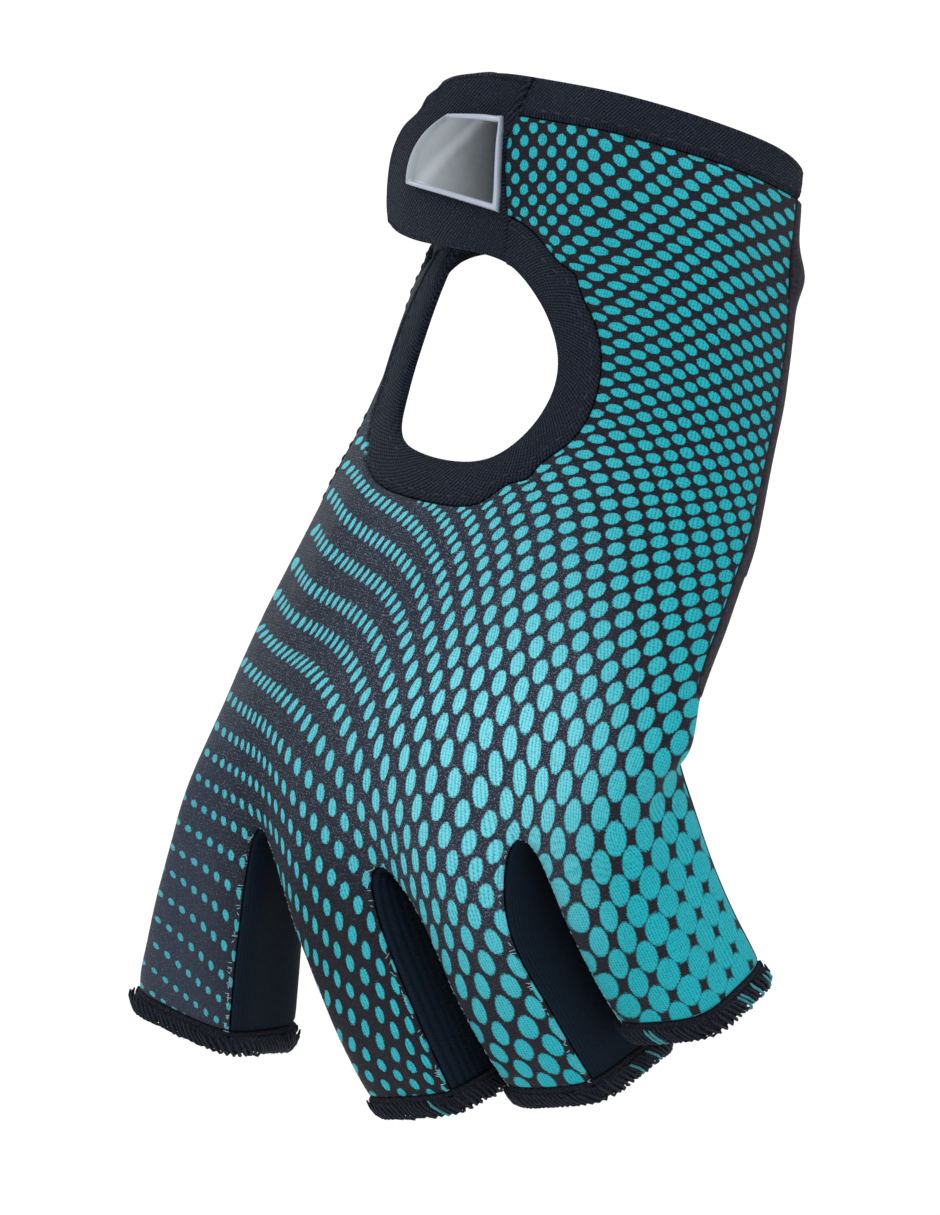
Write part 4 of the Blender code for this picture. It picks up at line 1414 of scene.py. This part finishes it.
def badge_finish():
    finish = Finish("badge_plate", Roughness=0.3, Metallic=0.2, Specular_IOR_Level=0.3)
    finish.shader.inputs["Coat Weight"].default_value = 0.2
    u, v = finish.uv("flat")
    looks = finish.node("ShaderNodeAttribute", {"attribute_name": "looks"})
    parts = finish.node("ShaderNodeSeparateColor", Color=looks.outputs["Color"])
    edge = Value(finish, parts.outputs[0]) * 10
    frame_mask = finish.between(edge, 0.85, 1.05, 1.0, 0.0) * finish.between(u, 0.02, 0.22, 0.35)
    brushed = finish.cloud(700.0, 2.0)
    # Painted reflection on the plate: pale at the left, dark to the right, with a pale diagonal
    # streak that brushed noise wobbles.
    off_painted_streak = finish.math("ABSOLUTE", u + v * 0.55 - 0.72 + brushed * 0.05)
    painted_streak = finish.between(off_painted_streak, 0.0, 0.14)
    painted_light_fall = finish.between(u - v * 0.12 + brushed * 0.08, 0.05, 1.05) * 0.75 + painted_streak * 0.25
    plate = finish.blend(painted_light_fall, linear("#A4ACB2"), linear("#12171C"))
    colour = finish.blend(frame_mask, plate, linear("#A3ABBC"))
    rough = 0.16 + frame_mask * 0.14 + brushed * 0.06
    bump = finish.relief(brushed, 0.00004, 0.5)
    return finish.wear(colour=colour, rough=rough, normal=bump)


badge()
print("badge on the tab")

# %% [markdown]
# ## Threads
# Thread is what makes a sewn thing look sewn. Each thread is a thin tube that follows a line
# laid over the cloth. One helper winds such tubes, a few sides round, and gathers them in
# one mesh for each seam, so that a whole row of stitches stays one piece.

# %% Thread tubes
def thread_tubes(paths, thick, sides=5):
    """Points and faces of tubes along many short paths, with closed rounded ends."""
    points, faces = [], []
    for path in paths:
        path = np.asarray(path, float)
        run = np.gradient(path, axis=0)
        run /= np.maximum(np.linalg.norm(run, axis=1), 1e-9)[:, None]
        guess = np.array([0.31, 0.85, 0.42])
        first = len(points)
        for i, (spot, way) in enumerate(zip(path, run)):
            one = np.cross(way, guess)
            one /= np.linalg.norm(one)
            two = np.cross(way, one)
            end = i in (0, len(path) - 1)
            radius = thick / 2 * (0.55 if end else 1.0)
            for k in range(sides):
                t = 2 * math.pi * k / sides
                points.append(spot + radius * (one * math.cos(t) + two * math.sin(t)))
        for i in range(len(path) - 1):
            for k in range(sides):
                a, b = first + i * sides + k, first + i * sides + (k + 1) % sides
                faces.append([a, a + sides, b + sides, b])
        faces.append([first + k for k in range(sides)])
        last = first + (len(path) - 1) * sides
        faces.append([last + k for k in reversed(range(sides))])
    return np.array(points), faces


def spun_thread(name, dark, light, twist=0.35):
    finish = Finish(name, Roughness=0.75, Sheen_Weight=0.03, Specular_IOR_Level=0.15)
    place = finish.node("ShaderNodeSeparateXYZ", _0=finish.place())
    x, y, z = (Value(finish, place.outputs[k]) for k in range(3))
    ply = finish.math("SINE", (x + y * 0.7 + z * 1.3) * (2 * math.pi / (twist * MM)))
    worn = finish.cloud(900.0, 2.0)
    colour = finish.blend(ply * 0.3 + worn * 0.7, linear(dark), linear(light))
    bump = finish.relief(ply, 0.00005, 0.6)
    return finish.wear(colour=colour, rough=0.65 + worn * 0.2, normal=bump)


BLACK_THREAD = spun_thread("black_thread", "#0A0D15", "#3D4555")
NAVY_THREAD = spun_thread("navy_thread", "#070B14", "#232C3C")
TEAL_THREAD = spun_thread("teal_thread", "#175A64", "#5FB3BC")
PALE_THREAD = spun_thread("pale_thread", "#5E8E98", "#B9D6DC")
print("thread helper ready")

# %% [markdown]
# ## Stitches along the tapes
# The tape is held by one row of lock stitches close to its inner edge, about four to the
# centimetre. Each stitch dips into the cloth at both ends. The row follows the border of the
# tape, a set distance inside it.

# %% Loops along a border
def ordered_loops(pairs):
    """Chains the edges of a border into closed loops of points."""
    after = {a: b for a, b in pairs}
    loops, left = [], set(after)
    while left:
        start = min(left)
        loop, here = [], start
        while here in left:
            left.discard(here)
            loop.append(here)
            here = after[here]
        loops.append(loop)
    return loops


def inside_line(piece, offset, keep):
    """Points and normals along a border of a piece, a distance inside it."""
    used, cells = cut(lambda n: n == piece or sheet_of(n) == piece)
    base, norm = skin[used], normals[used]
    lines = []
    for loop in ordered_loops(border_of(cells)):
        spots = []
        for i, v in enumerate(loop):
            if not keep(base[v]):
                spots.append(None)
                continue
            along = base[loop[(i + 1) % len(loop)]] - base[loop[i - 1]]
            inward = np.cross(norm[v], along)
            inward /= np.linalg.norm(inward)
            spots.append((base[v] + inward * offset, norm[v]))
        lines.append(spots)
    return lines


skin_tree = BVHTree.FromPolygons([Vector(p) for p in skin], quads)


def on_skin(spot, height):
    """The point at a height over the skin that is nearest to a spot."""
    hit, normal, face, dist = skin_tree.find_nearest(Vector(spot))
    near = quads[face]
    gap = 1 / (np.linalg.norm(skin[near] - np.array(hit), axis=1) + 0.05)
    out = (normals[near] * gap[:, None]).sum(axis=0)
    out /= np.linalg.norm(out)
    return np.array(hit) + out * height


def resample(spots, step):
    """Points at even steps along a line."""
    spots = np.array(spots)
    run = np.concatenate([[0], np.linalg.norm(np.diff(spots, axis=0), axis=1).cumsum()])
    count = max(int(run[-1] / step), 2)
    at = np.linspace(0, run[-1], count + 1)
    return np.stack([np.interp(at, run, spots[:, k]) for k in range(3)], axis=1)


def runs_of(spots):
    """Splits a loop with gaps into its unbroken runs, joined over its start."""
    if all(s is not None for s in spots):
        return [[s[0] for s in spots] + [spots[0][0]]]
    first = spots.index(None)
    turned = spots[first:] + spots[:first]
    runs, run = [], []
    for s in turned:
        if s is None:
            if len(run) > 3:
                runs.append(run)
            run = []
        else:
            run.append(s[0])
    if len(run) > 3:
        runs.append(run)
    return runs


def stitch_row(name, piece, offset, height, finish, length=1.9, gap=0.7, thick=0.36,
               keep=lambda spot: True):
    paths = []
    for spots in inside_line(piece, offset, keep):
        for run in runs_of(spots):
            line = resample(run, (length + gap) / 6)
            for i in range(0, len(line) - 5, 6):
                path = []
                for k in range(5):
                    t = k / 4
                    lift = height - 0.30 + 0.42 * math.sin(math.pi * t) ** 0.5
                    path.append(on_skin(line[i + k], lift))
                paths.append(path)
    points, faces = thread_tubes(paths, thick)
    row = make(name, points, faces, finish)
    print(name + ":", len(paths), "stitches")
    return row


stitch_row("cuff_stitches", "cuff_binding", 1.3, BIND_THICK / 2 - 0.45, BLACK_THREAD,
           keep=lambda spot: spot[2] < 2.4 and (spot[0] > -2.0 or spot[1] > -12.0))


def off_hub(hole, across, high):
    """Test that keeps the spots outside an ellipse round a hole and clear of the slot."""
    hub = np.array(row_point(0, *hole[5:7]))
    return lambda spot: (np.hypot(np.linalg.norm((spot - hub)[:2]) / across,
                                  (spot - hub)[2] / high) > 1.0
                         and not (-12.0 < spot[0] < -3.5 and spot[2] > -25.0))


stitch_row("keyhole_stitches", "keyhole_binding", 1.4, BIND_THICK / 2 - 0.34, BLACK_THREAD,
           keep=off_hub(HOLES[0], 18.3, 19.0))
stitch_row("thumb_stitches", "thumb_binding", 1.4, BIND_THICK / 2 - 0.34, BLACK_THREAD,
           keep=off_hub(HOLES[1], 20.5, 28.0))
stitch_row("tab_stitches", "closure_tab", TAB_TAPE - 1.1, TAB_THICK / 2 - 0.10, BLACK_THREAD,
           keep=lambda spot: spot[0] < -8.0)
stitch_row("heel_pad_stitches", "palm_panel.heel", 1.9, SUEDE_THICK / 2 + 0.30, BLACK_THREAD)

# %% [markdown]
# Where two pieces meet, a narrow strip of both is turned to the inside. These allowances lie
# behind every seam, so no light comes through it, and they show when one looks into the
# glove. They are laid a little deeper than the thickest cloth.

# %% Seam allowances inside
def seam_allowances(half_width=2.3, depth=-1.32, thick=0.3):
    ends = set()
    for (a, b), used in edges_of(quads).items():
        pair = {sheet_of(names[f]) for f in used}
        if len(pair) == 2 and "closure_tab" not in pair:
            ends |= {a, b}
    tree = tree_of([skin[v] for v in sorted(ends)])
    chosen = [q for q, n in zip(quads, names)
              if n != "closure_tab" and tree.find(skin[q].mean(axis=0))[2] < half_width]
    used = sorted({v for q in chosen for v in q})
    local = {v: i for i, v in enumerate(used)}
    cells = [[local[v] for v in q] for q in chosen]
    count = len(used)
    points = np.vstack([skin[used] + normals[used] * depth,
                        skin[used] + normals[used] * (depth - thick)])
    faces = cells + [[v + count for v in reversed(c)] for c in cells]
    faces += [[b, a, a + count, b + count] for a, b in border_of(cells)]
    make("seam_allowances", points, faces, PLAIN, np.vstack([flat[used][:, [0, 2]]] * 2))
    print("seam allowances:", len(cells), "faces")


seam_allowances()

# %% [markdown]
# ## Overlocked hems
# The finger openings are overlocked: a machine trims the edge and throws a loop of thread
# over it at every stitch. Seen from the side, the edge looks like a thin rope. Each loop
# starts on the outside, leans a little, goes round the edge and comes back on the inside.

# %% Overlock loops
TEAL_OVER = {"index": 0.52, "middle": 0.42, "ring": 0.36, "little": 0.26}


def overlock(finger, f):
    """Loops of thread round the open edge of a finger."""
    root, end, side_way, back_way, along = stall_frame(FINGERS[f])
    used, cells = cut(lambda n: n == "hem_" + finger)
    loops = ordered_loops(border_of(cells))
    loops.sort(key=lambda loop: (skin[used[loop]] @ along).mean())
    edge = used[loops[-1]]
    line = resample([*skin[edge], skin[edge[0]]], 0.95)
    out_of = [skin_tree.find_nearest(Vector(p)) for p in line]
    dark, bright = [], []
    for i, spot in enumerate(line):
        face = quads[out_of[i][2]]
        out = normals[face].mean(axis=0)
        out /= np.linalg.norm(out)
        down = along - out * (along @ out)
        down /= np.linalg.norm(down)
        step = line[(i + 1) % len(line)] - line[i - 1]
        step /= max(np.linalg.norm(step), 1e-9)
        jitter = noise.noise(Vector(spot) / 2.1)
        other = noise.noise(Vector(spot) / 1.3 + Vector((7, 1, 3)))
        half = HEM_THICK / 2 + 0.18
        reach = HEM_HEIGHT * (0.86 + 0.25 * jitter)
        wild = noise.noise(Vector(spot) * 1.9 + Vector((4, 9, 2)))
        shape = ((-reach, half - 0.38, -1.9 - wild), (-reach * 0.72, half - 0.05, -1.4),
                 (-reach * 0.35, half + 0.10 + 0.2 * wild, -0.5), (0.0, half * 0.92, 0.3),
                 (0.40 + 0.9 * other, half * 0.35, 0.85 + 0.9 * jitter),
                 (0.40 + 0.7 * other, -half * 0.35, 1.1 + wild),
                 (0.0, -half * 0.92, 0.6), (-reach * 0.5, -half - 0.05, -0.1),
                 (-reach * 0.8, -half + 0.3, -0.6))
        path = [spot + down * a + out * b + step * c for a, b, c in shape]
        tint = noise.noise(Vector(spot) / 1.7 + Vector((3, 5, 8)))
        (bright if tint > TEAL_OVER[finger] else dark).append(path)
    for kind, paths, finish in (("dark", dark, NAVY_THREAD), ("bright", bright, TEAL_THREAD)):
        if paths:
            points, faces = thread_tubes(paths, 0.52)
            make("overlock_" + kind + "_" + finger, points, faces, finish)
    return len(line)


for f, finger in enumerate(("index", "middle", "ring", "little")):
    print("loops on the", finger, "hem:", overlock(finger, f))


# %% [markdown]
# Along the seams of the fingers the needle has pulled some of the white yarn up through the
# print. These are very short bits of thread, a millimetre or less, lying every way close to
# the seam. They are placed by noise, so they come in clusters and are the same every time.

# %% Yarn ends along the finger seams
def yarn_ends():
    paths = []
    for (a, b), used in sorted(edges_of(quads).items()):
        pair = {sheet_of(names[f]) for f in used}
        if len(pair) < 2 or "back_panel" not in pair or not any("four" in n for n in pair):
            continue
        back_side = [f for f in used if names[f] == "back_panel"][0]
        inward = skin[quads[back_side]].mean(axis=0) - (skin[a] + skin[b]) / 2
        inward /= np.linalg.norm(inward)
        for k in range(3):
            spot = Vector(skin[a] * (1 - k / 3) + skin[b] * k / 3)
            chance = noise.noise(spot / 2.6 + Vector((k * 3.1, 5, 1)))
            turn = noise.noise(spot * 1.7 + Vector((2, k * 7.7, 4))) * 6.0
            far = 0.45 + 0.55 * abs(noise.noise(spot * 2.3))
            if chance < 0.02:
                continue
            along = (skin[b] - skin[a]) / np.linalg.norm(skin[b] - skin[a])
            way = along * math.cos(turn) + inward * math.sin(turn)
            middle = np.array(spot) + inward * far
            long = 0.28 + 0.35 * chance
            line = [middle - way * long, middle, middle + way * long]
            paths.append([on_skin(p, PRINT_THICK / 2 + h) for p, h in zip(line, (0, 0.07, 0))])
    points, faces = thread_tubes(paths, 0.17, 4)
    make("seam_yarn_ends", points, faces, PALE_THREAD)
    print("yarn ends:", len(paths))


yarn_ends()
